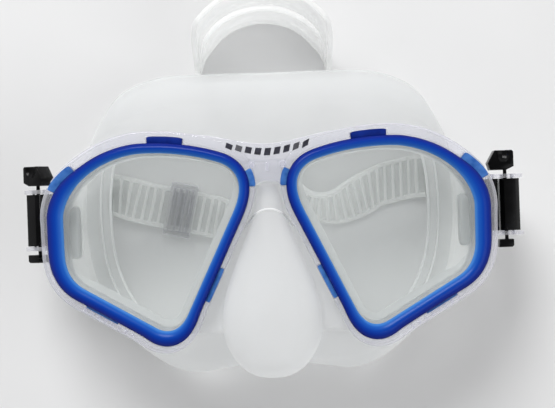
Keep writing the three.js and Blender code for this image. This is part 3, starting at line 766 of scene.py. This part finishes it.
def bridge_recess():
    """Cutter for the shallow panel below the dashes."""
    xs = np.linspace(-RECESS_HALF, RECESS_HALF, 21)
    squeeze = 1 - np.abs(xs / RECESS_HALF) ** 4 * 0.7
    high, low = bridge_top(xs) - 5.6, RECESS_LOW + 0.012 * xs**2
    middle = (high + low) / 2
    loops = []
    for z in (RECESS_FLOOR, FRAME_FRONT + 2):
        top, foot = (
            np.column_stack([xs, middle + (edge - middle) * squeeze, np.full(len(xs), z)])
            for edge in (high, low)
        )
        loops.append(np.vstack([top, foot[::-1]]))
    return strip_prism("recess", loops)


def bridge_bosses():
    """Two round studs and a small rib that stand in the bridge's recess."""
    parts = []
    turn = full_turn(28)
    for x in (-STUD_X, STUD_X):
        rows = []
        for r, h in ((1.3, 0.05), (1.25, 0.7), (1.0, 1.05), (0.6, 1.25), (0.2, 1.32)):
            z = np.full(len(turn), RECESS_FLOOR + h)
            rows.append(np.column_stack([x + r * np.cos(turn), STUD_Y + r * np.sin(turn), z]))
        parts.append(loft_object("stud", rows))
    bars = []
    for w, l, h in ((0.5, 1.7, 0.05), (0.5, 1.7, 0.6), (0.25, 1.45, 0.85)):
        bars.append([(i * w, RIB_Y + j * l, RECESS_FLOOR + h) for i, j in CORNERS])
    parts.append(loft_object("rib", bars))
    bosses = joined("bridge_bosses", parts)
    smooth(bosses, 50)
    finish_piece(bosses, CLEAR, "root")


def rung(place):
    """Corners of one cross rib at a fraction of the rim's length."""
    half = RUNG_WIDTH / 2 / RIM_LENGTH
    top = FRAME_FRONT + RUNG_LIFT
    corners = []
    for reach, z in ((1.1, RUNG_BOTTOM), (1.1, top), (2.3, top), (2.3, RUNG_BOTTOM)):
        for shift in (-half, half):
            index = (place + shift) * RIM_STEPS
            low = int(index) % RIM_STEPS
            part = index - int(index)
            p = RIM[low] * (1 - part) + RIM[(low + 1) % RIM_STEPS] * part
            p = p + NORMAL[low] * (RING_EDGE[low] + reach)
            corners.append((p[0], p[1], z + wrap_drop(p[0])))
    return corners


def frame_ribs():
    """Small cross ribs along the frame's lower outer edges, like the rungs of a ladder."""
    start, end = (nearest_fraction(point) for point in RUNG_ENDS)
    faces = [(0, 1, 3, 2), (2, 3, 5, 4), (4, 5, 7, 6), (6, 7, 1, 0), (0, 2, 4, 6), (1, 3, 5, 7)]
    for side, sign in SIDES:
        rungs = []
        for k in range(RUNGS):
            corners = rung(start + (end - start) * k / (RUNGS - 1))
            rungs.append(new_object("rung", sided(corners, sign), faces))
        ribs = joined(f"frame_rungs_{side}", rungs)
        bevel(ribs, 0.0002, 2, angle=30)
        smooth(ribs, 40)
        finish_piece(ribs, CLEAR, "root")


def inside_outline(points, outline):
    """Which points lie inside a closed outline, seen along Z."""
    x, y = points[:, 0], points[:, 1]
    result = np.zeros(len(points), bool)
    for (x0, y0), (x1, y1) in zip(outline, np.roll(outline, -1, 0)):
        crosses = (y0 > y) != (y1 > y)
        if y1 != y0:
            result ^= crosses & (x < (x1 - x0) * (y - y0) / (y1 - y0) + x0)
    return result


def frame_top(points):
    """Height of the frame's front face above points near the bridge, in millimetres."""
    border = (RIM + NORMAL * FRAME_EDGE[:, None])[::2]
    near_lens = inside_outline(points, border) | inside_outline(points, border * [-1, 1])
    return FRAME_FRONT - np.where(near_lens, 0.0, BRIDGE_STEP) + wrap_drop(points[:, 0])


def bridge_dashes():
    """A row of slanted dashes, a plain motif on the bridge."""
    blocks = []
    for k in range(DASHES):
        x = FIRST_DASH_X + DASH_PITCH * k
        from_middle = abs(k - (DASHES - 1) // 2)
        size = 1.3 - 0.07 * from_middle
        slope = 0.036 * x
        corner = np.array([(x - 1.3, -size), (x + 0.9, -size), (x + 1.5, size), (x - 0.7, size)])
        corner[:, 1] += bridge_top(x) - 3.0 + 0.1 * from_middle + slope * (corner[:, 0] - x)
        top = frame_top(corner)
        blocks.append(loft_object("dash", [np.column_stack([corner, top + lift]) for lift in (-0.5, 0.12)]))
    finish_piece(joined("bridge_dashes", blocks), PRINT, "root")


# ---- skirt ----

# From the middle of the forehead round the right side to the middle of the upper lip: the edge at
# the frame, the fold, and the edge that seals.
SKIRT_STATIONS = [
    ((0, 15.5), (0, 37.5, 38), (0, 50.6, 22)),
    ((20, 20), (20, 38, 38), (21, 50.8, 21.5)),
    ((40, 23.5), (41, 37.5, 36.5), (42, 50, 19.5)),
    ((57, 20), (56, 31.5, 34), (57.5, 43.8, 15)),
    ((68, 12.5), (65.5, 22, 30), (66.5, 31, 10)),
    ((75.5, 2), (72, 8, 26), (70.5, 15, 5.2)),
    ((76.5, -9), (73, -7, 25), (71.3, -8, 5.1)),
    ((75.5, -20), (71.5, -22, 27), (68.5, -28, 0.6)),
    ((67, -32), (64, -37, 31), (60, -45, 5)),
    ((52, -41), (51, -48, 35), (49, -55.5, 11)),
    ((38, -48.5), (39, -55.5, 38), (38.5, -62, 16)),
    ((28, -47), (29, -58, 40), (29.5, -64, 18.5)),
    ((15, -46), (16, -58, 42), (16, -61, 21)),
    ((0, -46), (0, -57, 42), (0, -58.5, 22)),
]
# Along the nose pocket: its place down the face, half its width, and its height above the floor.
NOSE_STATIONS = [
    (7, 2.6, 59), (3, 4.2, 62), (-5, 5.8, 66), (-13, 8.9, 70), (-22, 12.7, 74), (-31, 16, 77.4),
    (-39, 17.6, 79.5), (-47, 17.2, 80), (-53, 14.8, 79), (-57.5, 11.3, 76.5), (-60.3, 7.2, 72.5),
    (-61.6, 3.5, 67.5),
]
SKIRT_STEPS, WALL_STEPS, NOSE_STEPS, LIP_STEPS = 208, 8, 66, 8
NOSE_FOOT, NOSE_ARC_STEPS = 44.0, 33
OPEN_BELOW, OPEN_ABOVE = 34, 44
HOLE_MARGIN = -0.6
BEAD_RADIUS, RIDGE_RADIUS, RIDGE_SETBACK = 0.5, 0.4, 3.9
# Each seal lip: its name, where it starts between the edge and the fold, its reach inward and its rise.
LIPS = [("outer", 0.0, 6.1, 0.4), ("inner", 0.28, 9.7, 2.6)]
ARCH_STEPS, ARCH_HALF_WIDTH, ARCH_THICKNESS = 41, 9.0, 0.42
PAD_PLACE, PAD_HALF = (-8.1, 44.8), (9.6, 4.8)


def bead_ring(name, middle, radius):
    """A round bead along a closed line of the skirt."""
    rows = [
        inset(middle, radius * math.cos(a), -radius * math.sin(a))
        for a in full_turn(12)
    ]
    finish_piece(loft_object(name, rows, ring=True, angle=80), BEAD, "root")


def skirt_loop(pick):
    """A closed line round the skirt, from what pick takes of each station."""
    right = [pick(s) for s in SKIRT_STATIONS]
    left = [(-p[0], p[1], p[2]) for p in right[1:-1][::-1]]
    return catmull(right + left, SKIRT_STEPS, closed=True)


def inset(loop, distance, drop=0.0):
    """A line of the skirt moved inward and down."""
    along = np.roll(loop, -1, 0) - np.roll(loop, 1, 0)
    inward = np.column_stack([along[:, 1], -along[:, 0], np.zeros(len(loop))])
    return loop + unit(blur_round(unit(inward), 3)) * distance - [0, 0, drop]


def nose_loops():
    """Sections across the nose pocket: a rounded dome on straight sides."""
    arc = np.linspace(0, math.pi, NOSE_ARC_STEPS)
    c, s = np.cos(arc), np.sin(arc)
    loops = []
    for y, w, top in catmull(NOSE_STATIONS, NOSE_STEPS):
        x = w * np.sign(c) * np.abs(c) ** 0.8
        dome = np.column_stack([x, np.full(len(arc), y), top - w + w * s**0.8])
        loops.append(np.vstack([[w, y, NOSE_FOOT], dome, [-w, y, NOSE_FOOT]]))
    return loops


def skirt_wall(front, fold, edge):
    """Lines down the skirt's side, bulging between the frame and the fold and below it."""
    wall = []
    for k in range(WALL_STEPS + 1):
        t = k / WALL_STEPS
        bulge = 1.2 * math.sin(math.pi * t)
        wall.append(inset(front * (1 - t) + fold * t - [0, 0, 2.5 * (1 - t)], -bulge * 0.6))
    for k in range(1, WALL_STEPS + 1):
        t = k / WALL_STEPS
        wall.append(inset(fold * (1 - t) + edge * t, -1.6 * math.sin(math.pi * t)))
    return wall


def open_skirt(shell, edge):
    """Takes the closed form's back and lens windows away, and trues up the edges that this leaves."""
    windows = [sided(rim(HOLE_MARGIN, 0), sign)[:, :2] for sign in (1, -1)]
    bm = bmesh.new()
    bm.from_mesh(shell.data)
    faces = list(bm.faces)
    centres = (np.array([f.calc_center_median() for f in faces]) - ORIGIN) * 1000
    faces_down = np.array([f.normal.z for f in faces]) < -0.45
    doomed = faces_down & (centres[:, 2] < OPEN_BELOW)
    for window in windows:
        doomed |= inside_outline(centres[:, :2], window) & (centres[:, 2] > OPEN_ABOVE)
    bmesh.ops.delete(bm, geom=[faces[i] for i in np.flatnonzero(doomed)], context="FACES")
    for vertex in bm.verts:
        if not vertex.is_boundary:
            continue
        place = (np.array(vertex.co) - ORIGIN) * 1000
        if place[2] > OPEN_ABOVE:
            window = windows[0] if place[0] > 0 else windows[1]
            place[:2] = window[np.argmin(np.linalg.norm(window - place[:2], axis=1))]
        else:
            place = edge[np.argmin(np.linalg.norm(edge - place, axis=1))]
        vertex.co = to_row(place)
    bmesh.ops.remove_doubles(bm, verts=bm.verts, dist=0.00008)
    bm.to_mesh(shell.data)
    bm.free()


def seal_lips(fold, edge):
    """Two thin lips that turn inward at the back, each with a bead along its edge."""
    for name, start_at, reach, rise in LIPS:
        base = edge * (1 - start_at) + fold * start_at
        share = [k / LIP_STEPS for k in range(LIP_STEPS + 1)]
        rows = [inset(base, reach * t, -rise * t + 0.7 * (1 - t)) for t in share]
        rows += [inset(base, reach * t, -rise * t - 0.7 * (1 - t) - 0.25) for t in share[::-1]]
        lip = loft_object(f"seal_lip_{name}", rows, ring=True, angle=60)
        finish_piece(lip, SKIRT, "root")
        bead_ring(f"seal_bead_{name}", inset(base, reach, -rise - 0.1), BEAD_RADIUS)
        if name == "inner":
            on_lip = (reach - RIDGE_SETBACK) / reach
            bead_ring("seal_ridge", inset(base, reach * on_lip, -rise * on_lip - 0.6), RIDGE_RADIUS)


def skirt():
    front = skirt_loop(lambda s: (*s[0], PLATE_TOP + float(wrap_drop(s[0][0]))))
    fold = skirt_loop(lambda s: s[1])
    edge = skirt_loop(lambda s: s[2])
    outer = loft_object("skirt_outer", [inset(front, 0.6), front, *skirt_wall(front, fold, edge)])
    nose = loft_object("skirt_nose", nose_loops())
    shell = joined("skirt_shell", [outer, nose])
    modify(shell, "REMESH", mode="VOXEL", voxel_size=0.0008, use_smooth_shade=True)
    modify(shell, "SMOOTH", factor=0.5, iterations=7)
    open_skirt(shell, edge)
    modify(shell, "SOLIDIFY", thickness=0.0014, offset=-1.0)
    shell.data.shade_smooth()
    finish_piece(shell, SKIRT, "root", "skirt")
    nose_arch(shell)
    seal_lips(fold, edge)


def nose_arch(shell):
    """Fine raised line where the polished patch ends above the nose pocket."""
    turn = full_turn(10)
    share = np.linspace(-1, 1, ARCH_STEPS)
    path = []
    for t in share:
        x, y = ARCH_HALF_WIDTH * t, -1.8 - 7.0 * abs(t) ** 2.2
        hit, place, _, _ = shell.ray_cast(Vector(to_row((x, y, 90))), Vector((0, 0, -1)))
        path.append((x, y, (place[2] - ORIGIN[2]) * 1000 if hit else 62.0))
    path = np.array(path)
    side = unit(np.cross(np.gradient(path, axis=0), (0, 0, 1)))
    radius = ARCH_THICKNESS * np.sqrt(np.clip(1 - share**8, 0.05, 1))
    rows = []
    for at, r, out in zip(path, radius, side):
        rows.append(at + r * (np.cos(turn)[:, None] * out + np.sin(turn)[:, None] * np.array([0, 0, 1])))
    finish_piece(loft_object("nose_arch", rows, angle=80), BEAD, "root")


def anchor_pads():
    """The thick patch of silicone that holds each buckle anchor's foot."""
    turn = full_turn(40)
    across, up = (np.sign(v) * np.abs(v) ** 0.4 for v in (np.cos(turn), np.sin(turn)))
    for side, sign in SIDES:
        rows = []
        for x, shrink in ((70.0, 1.2), (70.3, 0.5), (70.9, 0.0), (74.6, 0.0)):
            y = PAD_PLACE[0] + (PAD_HALF[0] - shrink) * across
            z = PAD_PLACE[1] + (PAD_HALF[1] - shrink) * up
            rows.append(sided(np.column_stack([np.full(len(turn), x), y, z]), sign))
        finish_piece(loft_object(f"anchor_pad_{side}", rows, angle=60), PAD, "root")


def lens_necks():
    """The silicone collar that lines each opening of the frame, and its web inside."""
    seat, foot = LEDGE_MARGIN - GAP, PLATE_TOP - 2
    collar = [(-0.6, foot), (-0.6, GASKET_TOP - 0.3), (-0.3, GASKET_TOP), (GLASS_MARGIN, GASKET_TOP)]
    collar += [(GLASS_MARGIN, GASKET_BOTTOM), (seat, GASKET_BOTTOM), (seat, foot)]
    inner = HOLE_MARGIN - blur_round(np.where((FACING < -40) | (FACING > 170), 2.4, 0.4), 6)
    web = [(-0.5, foot - 0.2), (inner, foot - 1.4), (inner, foot - 2.2), (-0.5, foot - 1.6)]
    for side, sign in SIDES:
        for name, profile in (("neck", collar), ("web", web)):
            piece = loft_object(f"lens_{name}_{side}", rim_loops(profile, sign), ring=True)
            finish_piece(piece, SKIRT, "root")


# ---- strap ----

STRAP_WIDTH, STRAP_THICKNESS = 17.0, 2.0
RIB_PITCH, RIB_DEPTH, RIM_BAND, CHAMFER = 3.3, 0.6, 1.5, 0.25
# The way that the strap's width points: along the floor, or up where it stands on its edge.
FLAT, ON_EDGE = (0, 1, 0), (0, 0, 1)
EDGE_HEIGHT = STRAP_WIDTH / 2 + 0.5


def smooth_stations(stations, steps):
    """A smooth path through the stations, none of it below the floor."""
    at = catmull([s[0] for s in stations], steps)
    across = unit(catmull([s[1] for s in stations], steps))
    standing, lying = np.abs(across[:, 2]), np.hypot(across[:, 0], across[:, 1])
    at[:, 2] = np.maximum(at[:, 2], (standing * STRAP_WIDTH + lying * STRAP_THICKNESS) / 2)
    return at, across


def even(at, across, width, spacing):
    """The same path with its stations evenly spaced."""
    length = lengths(at)
    wanted = np.linspace(0, length[-1], max(2, int(length[-1] / spacing) + 1))
    at, across = (
        np.stack([np.interp(wanted, length, v[:, k]) for k in range(3)], axis=1) for v in (at, across)
    )
    return at, unit(across), np.interp(wanted, length, width), wanted


def ribbon(name, at, across, width=None, ribs=0):
    """A moulded band. ribs is the side that carries cross ribs: 1, -1, or 0 for none. Its UV.x
    is high on ribs and rims, and low on the thin floor between them."""
    width = np.full(len(at), STRAP_WIDTH) if width is None else np.asarray(width, float)
    at, across, width, place = even(at, across, width, RIB_PITCH / 8)
    along = unit(np.gradient(at, axis=0))
    for _ in range(3):
        along[1:-1] = (along[:-2] + 2 * along[1:-1] + along[2:]) / 4
    through = unit(np.cross(along, across))
    half = STRAP_THICKNESS / 2
    depth = 0.62 * half
    well, rib = (half - RIB_DEPTH, half - 0.05) if ribs else (half, half)
    wave = 0.5 + 0.5 * np.tanh(5 * (np.cos(2 * math.pi * place / RIB_PITCH) - 0.35))
    wave *= smoothstep(place, 0, 2)
    ends = smoothstep(np.minimum(place, place[-1] - place), -0.6, 0.6)
    loops, uv = [], []
    for i in range(len(at)):
        w = width[i] / 2
        band, level = w - RIM_BAND, well + (rib - well) * wave[i]
        ribbed = [(w, depth), (w - CHAMFER, half), (band, half), (band - 0.5, level), (0, level)]
        ribbed += [(0.5 - band, level), (-band, half), (CHAMFER - w, half), (-w, depth)]
        plain = [(-w, -depth), (CHAMFER - w, -half), (0, -half), (w - CHAMFER, -half), (w, -depth)]
        outline = [(s, t * (ribs or 1)) for s, t in ribbed + plain]
        fill = wave[i] if ribs else 0.25
        uv += [(0.9 if abs(s) > band - 0.1 else fill, place[i] / place[-1]) for s, _ in outline]
        loops.append([
            at[i] + across[i] * s * (0.985 + 0.015 * ends[i]) + through[i] * t * (0.7 + 0.3 * ends[i])
            for s, t in outline
        ])
    uv += [(0.5, 0), (0.5, 1)]
    return loft_object(name, loops, angle=40, uv=uv)


RIGHT_HALF_START = [((62.3, 9.2, 3.5), FLAT), ((59, 9.1, 2.6), FLAT), ((56.2, 8.8, 1.3), FLAT)]
RIGHT_HALF_ON_FLOOR = [(55.4, 8.65), (54.4, 8.45), (46.6, 6.75), (45.6, 6.45)]
RIGHT_HALF_END = [
    ((44.2, 6.05, 1.1), FLAT),
    ((36, 2.1, 3.3), (-0.22, 0.92, 0.26)),
    ((25, -2.2, 7), (-0.1, 0.72, 0.69)),
    ((16, -0.6, 8.6), (0.15, 0.5, 0.85)),
    ((10.5, 5.5, 9), (0.2, 0.2, 0.96)),
    ((8.5, 14, EDGE_HEIGHT), ON_EDGE),
    ((12, 28, EDGE_HEIGHT), ON_EDGE),
    ((20, 41, EDGE_HEIGHT), ON_EDGE),
    ((25.4, 51, EDGE_HEIGHT), ON_EDGE),
]
KEEPER_X, KEEPER_Y, KEEPER_ANGLE = -35.5, -1.2, math.radians(-13)
STRAP_IN_KEEPER = 2.3
KEEPER_WAY = np.array([math.cos(KEEPER_ANGLE), math.sin(KEEPER_ANGLE), 0])
KEEPER_ACROSS = (-KEEPER_WAY[1], KEEPER_WAY[0], 0)


def beside_keeper(distance):
    return tuple(np.array([KEEPER_X, KEEPER_Y, STRAP_IN_KEEPER]) + KEEPER_WAY * distance)


LEFT_HALF_START = [
    ((-62.3, 6, 3.5), FLAT), ((-54.5, 3.6, 3.5), KEEPER_ACROSS), (beside_keeper(-13.5), KEEPER_ACROSS),
]
LEFT_HALF_END = [
    (beside_keeper(13.5), KEEPER_ACROSS),
    ((-15, -6, 4.9), (0.15, 0.87, 0.45)),
    ((-8, -5.2, 7.9), (-0.2, 0.5, 0.84)),
    ((-3.8, 0.5, 9), (-0.25, 0.1, 0.96)),
    ((-4, 10, EDGE_HEIGHT), ON_EDGE),
    ((-10, 26, EDGE_HEIGHT), ON_EDGE),
    ((-19, 40, EDGE_HEIGHT), ON_EDGE),
    ((-26.4, 51, EDGE_HEIGHT), ON_EDGE),
]
# Middle of the head band's loop, and half its width where the strap splits.
LOOP_CENTRE, LOOP_START = (-0.5, 52.0), 25.7
LOOP_LEAN = math.radians(8)
# Width of a head band where the strap splits, and round the loop.
BAND_START_WIDTH, BAND_WIDTH = 8.4, 19
# Each half of the head band: its name, its reach to the side and to the back, and its height
# where the strap splits and round the loop.
HEAD_BANDS = [("lower", 25.2, 22.5, 4.7, 10.2), ("upper", 28.0, 26.6, 13.3, 36.6)]


def stacked(*parts):
    """One path from several."""
    return np.vstack([p[0] for p in parts]), np.vstack([p[1] for p in parts])


def strap():
    on_floor = (
        np.array([(x, y, STRAP_THICKNESS / 2) for x, y in RIGHT_HALF_ON_FLOOR]),
        np.array([FLAT] * len(RIGHT_HALF_ON_FLOOR), float),
    )
    start, end = smooth_stations(RIGHT_HALF_START, 20), smooth_stations(RIGHT_HALF_END, 120)
    at, across = stacked(start, on_floor, end)
    finish_piece(ribbon("strap_half_right", at, across, ribs=-1), STRAP, "root", "strap")
    at, across = stacked(smooth_stations(LEFT_HALF_START, 30), smooth_stations(LEFT_HALF_END, 110))
    finish_piece(ribbon("strap_half_left", at, across, ribs=1), STRAP, "root")


def head_bands():
    """The two bands of the loop that goes round the head."""
    for name, rx, ry, foot, height in HEAD_BANDS:
        at, across, width = [], [], []
        for angle in np.linspace(0, math.pi, 91):
            open_by = float(smoothstep(min(angle, math.pi - angle), 0, 0.65))
            c, s = math.cos(angle), math.sin(angle)
            radius = LOOP_START + (rx - LOOP_START) * open_by
            lean = LOOP_LEAN * open_by
            z = foot + (height - foot) * open_by
            at.append((LOOP_CENTRE[0] + radius * c, LOOP_CENTRE[1] + ry * s, z))
            across.append((math.sin(lean) * c, math.sin(lean) * s, math.cos(lean)))
            width.append(BAND_START_WIDTH + (BAND_WIDTH - BAND_START_WIDTH) * open_by)
        at = [(24, 47.5, at[0][2])] + at + [(-24.6, 47.5, at[-1][2])]
        across = [across[0]] + across + [across[-1]]
        width = [width[0]] + width + [width[-1]]
        piece = ribbon(f"head_band_{name}", np.array(at), np.array(across), width)
        finish_piece(piece, STRAP, "root")


LEFT_SWING = math.radians(35)
# The strap's roller, seen from the swivel pin before the buckle swings.
ROLLER, ROLLER_RADIUS = (6.5, -12.0), 2.6
# Points that the strap's ends run through, from the floor up to the buckle's roller and down again.
RIGHT_TAIL = [
    (61.2, 9.2, 1), (69, 7.6, 1), (77, 3.4, 1.2), (84, -1, 3.8), (89.3, -3, 10),
    (91.8, STRAP_CENTRE_Y, 20),
]
RIGHT_MAIN = [(83.8, -2.6, 18), (80.6, -0.8, 9), (75.4, 3.6, 4.5), (69, 7.6, 3.5), (62.6, 9.2, 3.5)]
LEFT_TAIL = [
    (56.5, 4.4, 1), (67, 5.6, 1), (74, 3.2, 1.1), (80, -0.6, 3.6), (83.4, -2.8, 10),
    (84.4, STRAP_CENTRE_Y, 20),
]
LEFT_MAIN = [
    (76.6, -2.6, 20), (76.3, -1.5, 11), (74.6, 1, 5.8), (71, 4, 3.7), (66, 5.6, 3.5), (62.6, 6, 3.5),
]


def strap_end(side, sign, swing, tail, main):
    """The strap from the floor up, round the buckle's roller and down again."""
    rx = HINGE[0] + ROLLER[0] * math.cos(swing) + ROLLER[1] * math.sin(swing)
    rz = HINGE[1] - ROLLER[0] * math.sin(swing) + ROLLER[1] * math.cos(swing)
    radius = ROLLER_RADIUS + GAP + STRAP_THICKNESS / 2
    over = [
        (rx + radius * math.cos(a), STRAP_CENTRE_Y, rz + radius * math.sin(a))
        for a in np.linspace(0, math.pi, 25)
    ]

    def stretch(points):
        return smooth_stations([(p, FLAT) for p in points], 10 * len(points))

    arc = (np.array(over[1:-1]), np.array([FLAT] * (len(over) - 2), float))
    at, across = stacked(stretch([*tail, over[0]]), arc, stretch([over[-1], *main]))
    piece = ribbon(f"strap_through_buckle_{side}", sided(at, sign), across, ribs=-sign)
    piece.data.materials.append(STRAP)
    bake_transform(piece)
    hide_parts(f"strap_end_{side}")


KEEPER_LENGTH, KEEPER_HALF, KEEPER_HEIGHT = 10.9, 10.8, 4.9
KEEPER_HOLE_HALF, KEEPER_ROUNDING, KEEPER_HOLE_ROUNDING = 8.8, 0.9, 0.4
KEEPER_BARS, BAR_HALF_WIDTH, BAR_HALF_LENGTH = (-3.6, -1.2, 1.2, 3.6), 0.55, 8.6


def rounded(w, z0, z1, r):
    """A rectangle with round corners: half its width, its foot and its top, and the corners' radius."""
    corners = []
    x, low, high = w - r, z0 + r, z1 - r
    for cx, cz, start in ((x, high, 0), (-x, high, 90), (-x, low, 180), (x, low, 270)):
        for a in np.radians(start + np.linspace(0, 90, 6)):
            corners.append((cx + r * math.cos(a), cz + r * math.sin(a)))
    return np.array(corners)


def keeper():
    """Clear loop that slides along the strap's left half."""
    half, middle = KEEPER_LENGTH / 2, KEEPER_HEIGHT / 2
    reach = STRAP_THICKNESS / 2 + GAP
    outer = rounded(KEEPER_HALF, 0, KEEPER_HEIGHT, KEEPER_ROUNDING)
    low, high = STRAP_IN_KEEPER - reach, STRAP_IN_KEEPER + reach
    inner = rounded(KEEPER_HOLE_HALF, low, high, KEEPER_HOLE_ROUNDING)
    turn = np.array([[KEEPER_WAY[0], KEEPER_WAY[1], 0], [-KEEPER_WAY[1], KEEPER_WAY[0], 0], [0, 0, 1]])

    def place(points):
        return np.asarray(points) @ turn + [KEEPER_X, KEEPER_Y, 0]

    rows = []
    for shape, x, shrink in (
        (outer, -half + 0.5, 0), (outer, half - 0.5, 0), (outer, half - 0.1, 0.25), (outer, half, 0.6),
        (inner, half, -0.1), (inner, half - 0.4, 0), (inner, -half + 0.4, 0), (inner, -half, -0.1),
        (outer, -half, 0.6), (outer, -half + 0.1, 0.25),
    ):
        y, z = shape[:, 0] * (1 - shrink / 10), (shape[:, 1] - middle) * (1 - shrink / 5) + middle
        rows.append(place(np.column_stack([np.full(len(shape), x), y, z])))
    parts = [loft_object("keeper_body", rows, ring=True, angle=40)]
    for x in KEEPER_BARS:
        bar = []
        for lift, shrink in ((-0.4, 0), (0.25, 0), (0.5, 0.25)):
            w, l = BAR_HALF_WIDTH - shrink, BAR_HALF_LENGTH - shrink
            bar.append(place([(x + i * w, j * l, KEEPER_HEIGHT + lift) for i, j in CORNERS]))
        parts.append(loft_object("keeper_bar", bar))
    whole = joined("keeper_loop", parts)
    smooth(whole, 40)
    finish_piece(whole, KEEPER_LOOK, "keeper", "strap_keeper")


# ---- buckles ----


# Each rounded copy of a CAD solid: node, new name, look, body and edge radius in metres.
REFINED = [
    ("buckle_frame", "buckle_arms", CLEAR, "buckle", 0.0003),
    ("buckle_cover", "buckle_shell", BLACK, "buckle", 0.0003),
    ("buckle_anchor", "anchor", BLACK, "root", 0.0003),
    ("release_button_upper", "thumb_button", BLACK, "button_upper", 0.0004),
    ("release_button_lower", "finger_button", BLACK, "button_lower", 0.0004),
    ("strap_pawl", "pawl", BLACK, "pawl", 0.00015),
]
# CAD solids that only need a look.
AS_DRAWN = [
    ("strap_roller", BLACK), ("swivel_pin", STEEL), ("roller_axle", STEEL), ("pawl_pin", STEEL),
    ("lens", GLASS),
]
SPRING_TURNS, SPRING_WIRE, SPRING_TRAVEL = 11, 0.0002, 2 * 0.0012


def refined(node, name, look, body, rounding):
    """The CAD solid again with rounded edges."""
    obj = placed(name, frame["nodes"][node].data.copy())
    bm = bmesh.new()
    bm.from_mesh(obj.data)
    bmesh.ops.remove_doubles(bm, verts=bm.verts, dist=1e-6)
    bmesh.ops.dissolve_limit(bm, angle_limit=math.radians(1), verts=bm.verts, edges=bm.edges)
    bm.to_mesh(obj.data)
    bm.free()
    bevel(obj, rounding, 3, angle=28)
    smooth(obj, 40)
    finish_piece(obj, look, body, node)


def return_spring(side):
    """Coil between the two button stems."""
    low, high = (np.array(corner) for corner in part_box(f"return_spring_{side}"))
    centre = (low + high) / 2
    radius = (high[0] - low[0]) / 2 - SPRING_WIRE
    reach = (high[1] - low[1]) / 2 - SPRING_WIRE
    ring = full_turn(8)
    loops = []
    for t in np.linspace(-1, 1, SPRING_TURNS * 20 + 1):
        turn = math.pi * SPRING_TURNS * t
        outward_way = np.array([math.cos(turn), 0, math.sin(turn)])
        middle = centre + radius * outward_way + [0, reach * t, 0]
        loops.append([
            middle + SPRING_WIRE * (math.cos(a) * outward_way + math.sin(a) * np.array([0, 1, 0]))
            for a in ring
        ])
    coil = loft_object(f"spring_coil_{side}", (np.array(loops) - ORIGIN) * 1000, angle=80)
    finish_piece(coil, STEEL, f"buckle_{side}", f"return_spring_{side}")
    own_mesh(coil)


def buckles():
    for side, _ in SIDES:
        for node, name, look, body, rounding in REFINED:
            on_body = body if body == "root" else f"{body}_{side}"
            refined(f"{node}_{side}", f"{name}_{side}", look, on_body, rounding)
        for node, look in AS_DRAWN:
            mesh = frame["nodes"][f"{node}_{side}"].data
            mesh.materials.clear()
            mesh.materials.append(look)
        return_spring(side)


# ---- assembly ----

for side, sign in SIDES:
    lens_ring(side, sign)
    ring_tabs(side, sign)
clear_frame()
frame_ribs()
bridge_bosses()
bridge_dashes()
skirt()
anchor_pads()
lens_necks()
strap()
head_bands()
strap_end("right", 1, 0.0, RIGHT_TAIL, RIGHT_MAIN)
strap_end("left", -1, LEFT_SWING, LEFT_TAIL, LEFT_MAIN)
keeper()
buckles()


# ---- stage ----


FLOOR_HALF, FLOOR_DROP = 4.0, 0.0002
LENS_LENGTH, SENSOR_WIDTH = 91.8, 36.0
CAMERA_PLACE, CAMERA_UP = (3.2, -0.1, 568), (0.0347, 0.9994, 0)
ROOM_STRENGTH = 0.9
# Height of the direction looked in, and how bright the room is there: at the sides and overhead.
ROOM_LEVELS = ((0.2, 1.0), (0.9, 0.3))


def floor():
    mesh = bpy.data.meshes.new("floor")
    mesh.from_pydata([(FLOOR_HALF * i, FLOOR_HALF * j, 0) for i, j in CORNERS], [], [(0, 1, 2, 3)])
    mesh.materials.append(floor_cloth())
    obj = placed("floor", mesh)
    obj.location.z = -FLOOR_DROP


def area_light(name, location, target, size, power):
    """A round soft light aimed at a point."""
    light = bpy.data.lights.new(name, "AREA")
    light.shape = "DISK"
    light.size = size
    light.energy = power
    obj = placed(name, light)
    obj.location = location
    obj.rotation_euler = (Vector(target) - Vector(location)).to_track_quat("-Z", "Y").to_euler()


def world():
    """A soft white room, dimmer overhead than at the sides."""
    scene_world = bpy.data.worlds.new("studio")
    scene_world.use_nodes = True
    nodes, links = scene_world.node_tree.nodes, scene_world.node_tree.links
    background = nodes["Background"]
    place = nodes.new("ShaderNodeTexCoord")
    height = nodes.new("ShaderNodeSeparateXYZ")
    shade = nodes.new("ShaderNodeValToRGB")
    for element, (position, level) in zip(shade.color_ramp.elements, ROOM_LEVELS):
        element.position = position
        element.color = (level, level, level, 1)
    links.new(place.outputs["Generated"], height.inputs["Vector"])
    links.new(height.outputs["Z"], shade.inputs["Fac"])
    links.new(shade.outputs["Color"], background.inputs["Color"])
    background.inputs["Strength"].default_value = ROOM_STRENGTH
    bpy.context.scene.world = scene_world


def camera():
    """Straight above the mask and turned two degrees, as in the photo."""
    data = bpy.data.cameras.new("camera")
    data.lens = LENS_LENGTH
    data.sensor_width = SENSOR_WIDTH
    obj = placed("camera", data)
    back = Vector((0, 0, 1))
    up = Vector(CAMERA_UP).normalized()
    right = up.cross(back)
    rotation = Matrix((right, up, back)).transposed()
    obj.matrix_world = Matrix.Translation(Vector(to_row(CAMERA_PLACE))) @ rotation.to_4x4()
    bpy.context.scene.camera = obj


floor()
world()
area_light("key", (-0.25, 0.8, 1.0), (0, 0.02, 0), 0.6, 12.0)
area_light("fill", (0.7, -0.3, 0.9), (0, 0, 0), 0.8, 3.0)
camera()
bpy.context.scene.view_settings.view_transform = "Standard"
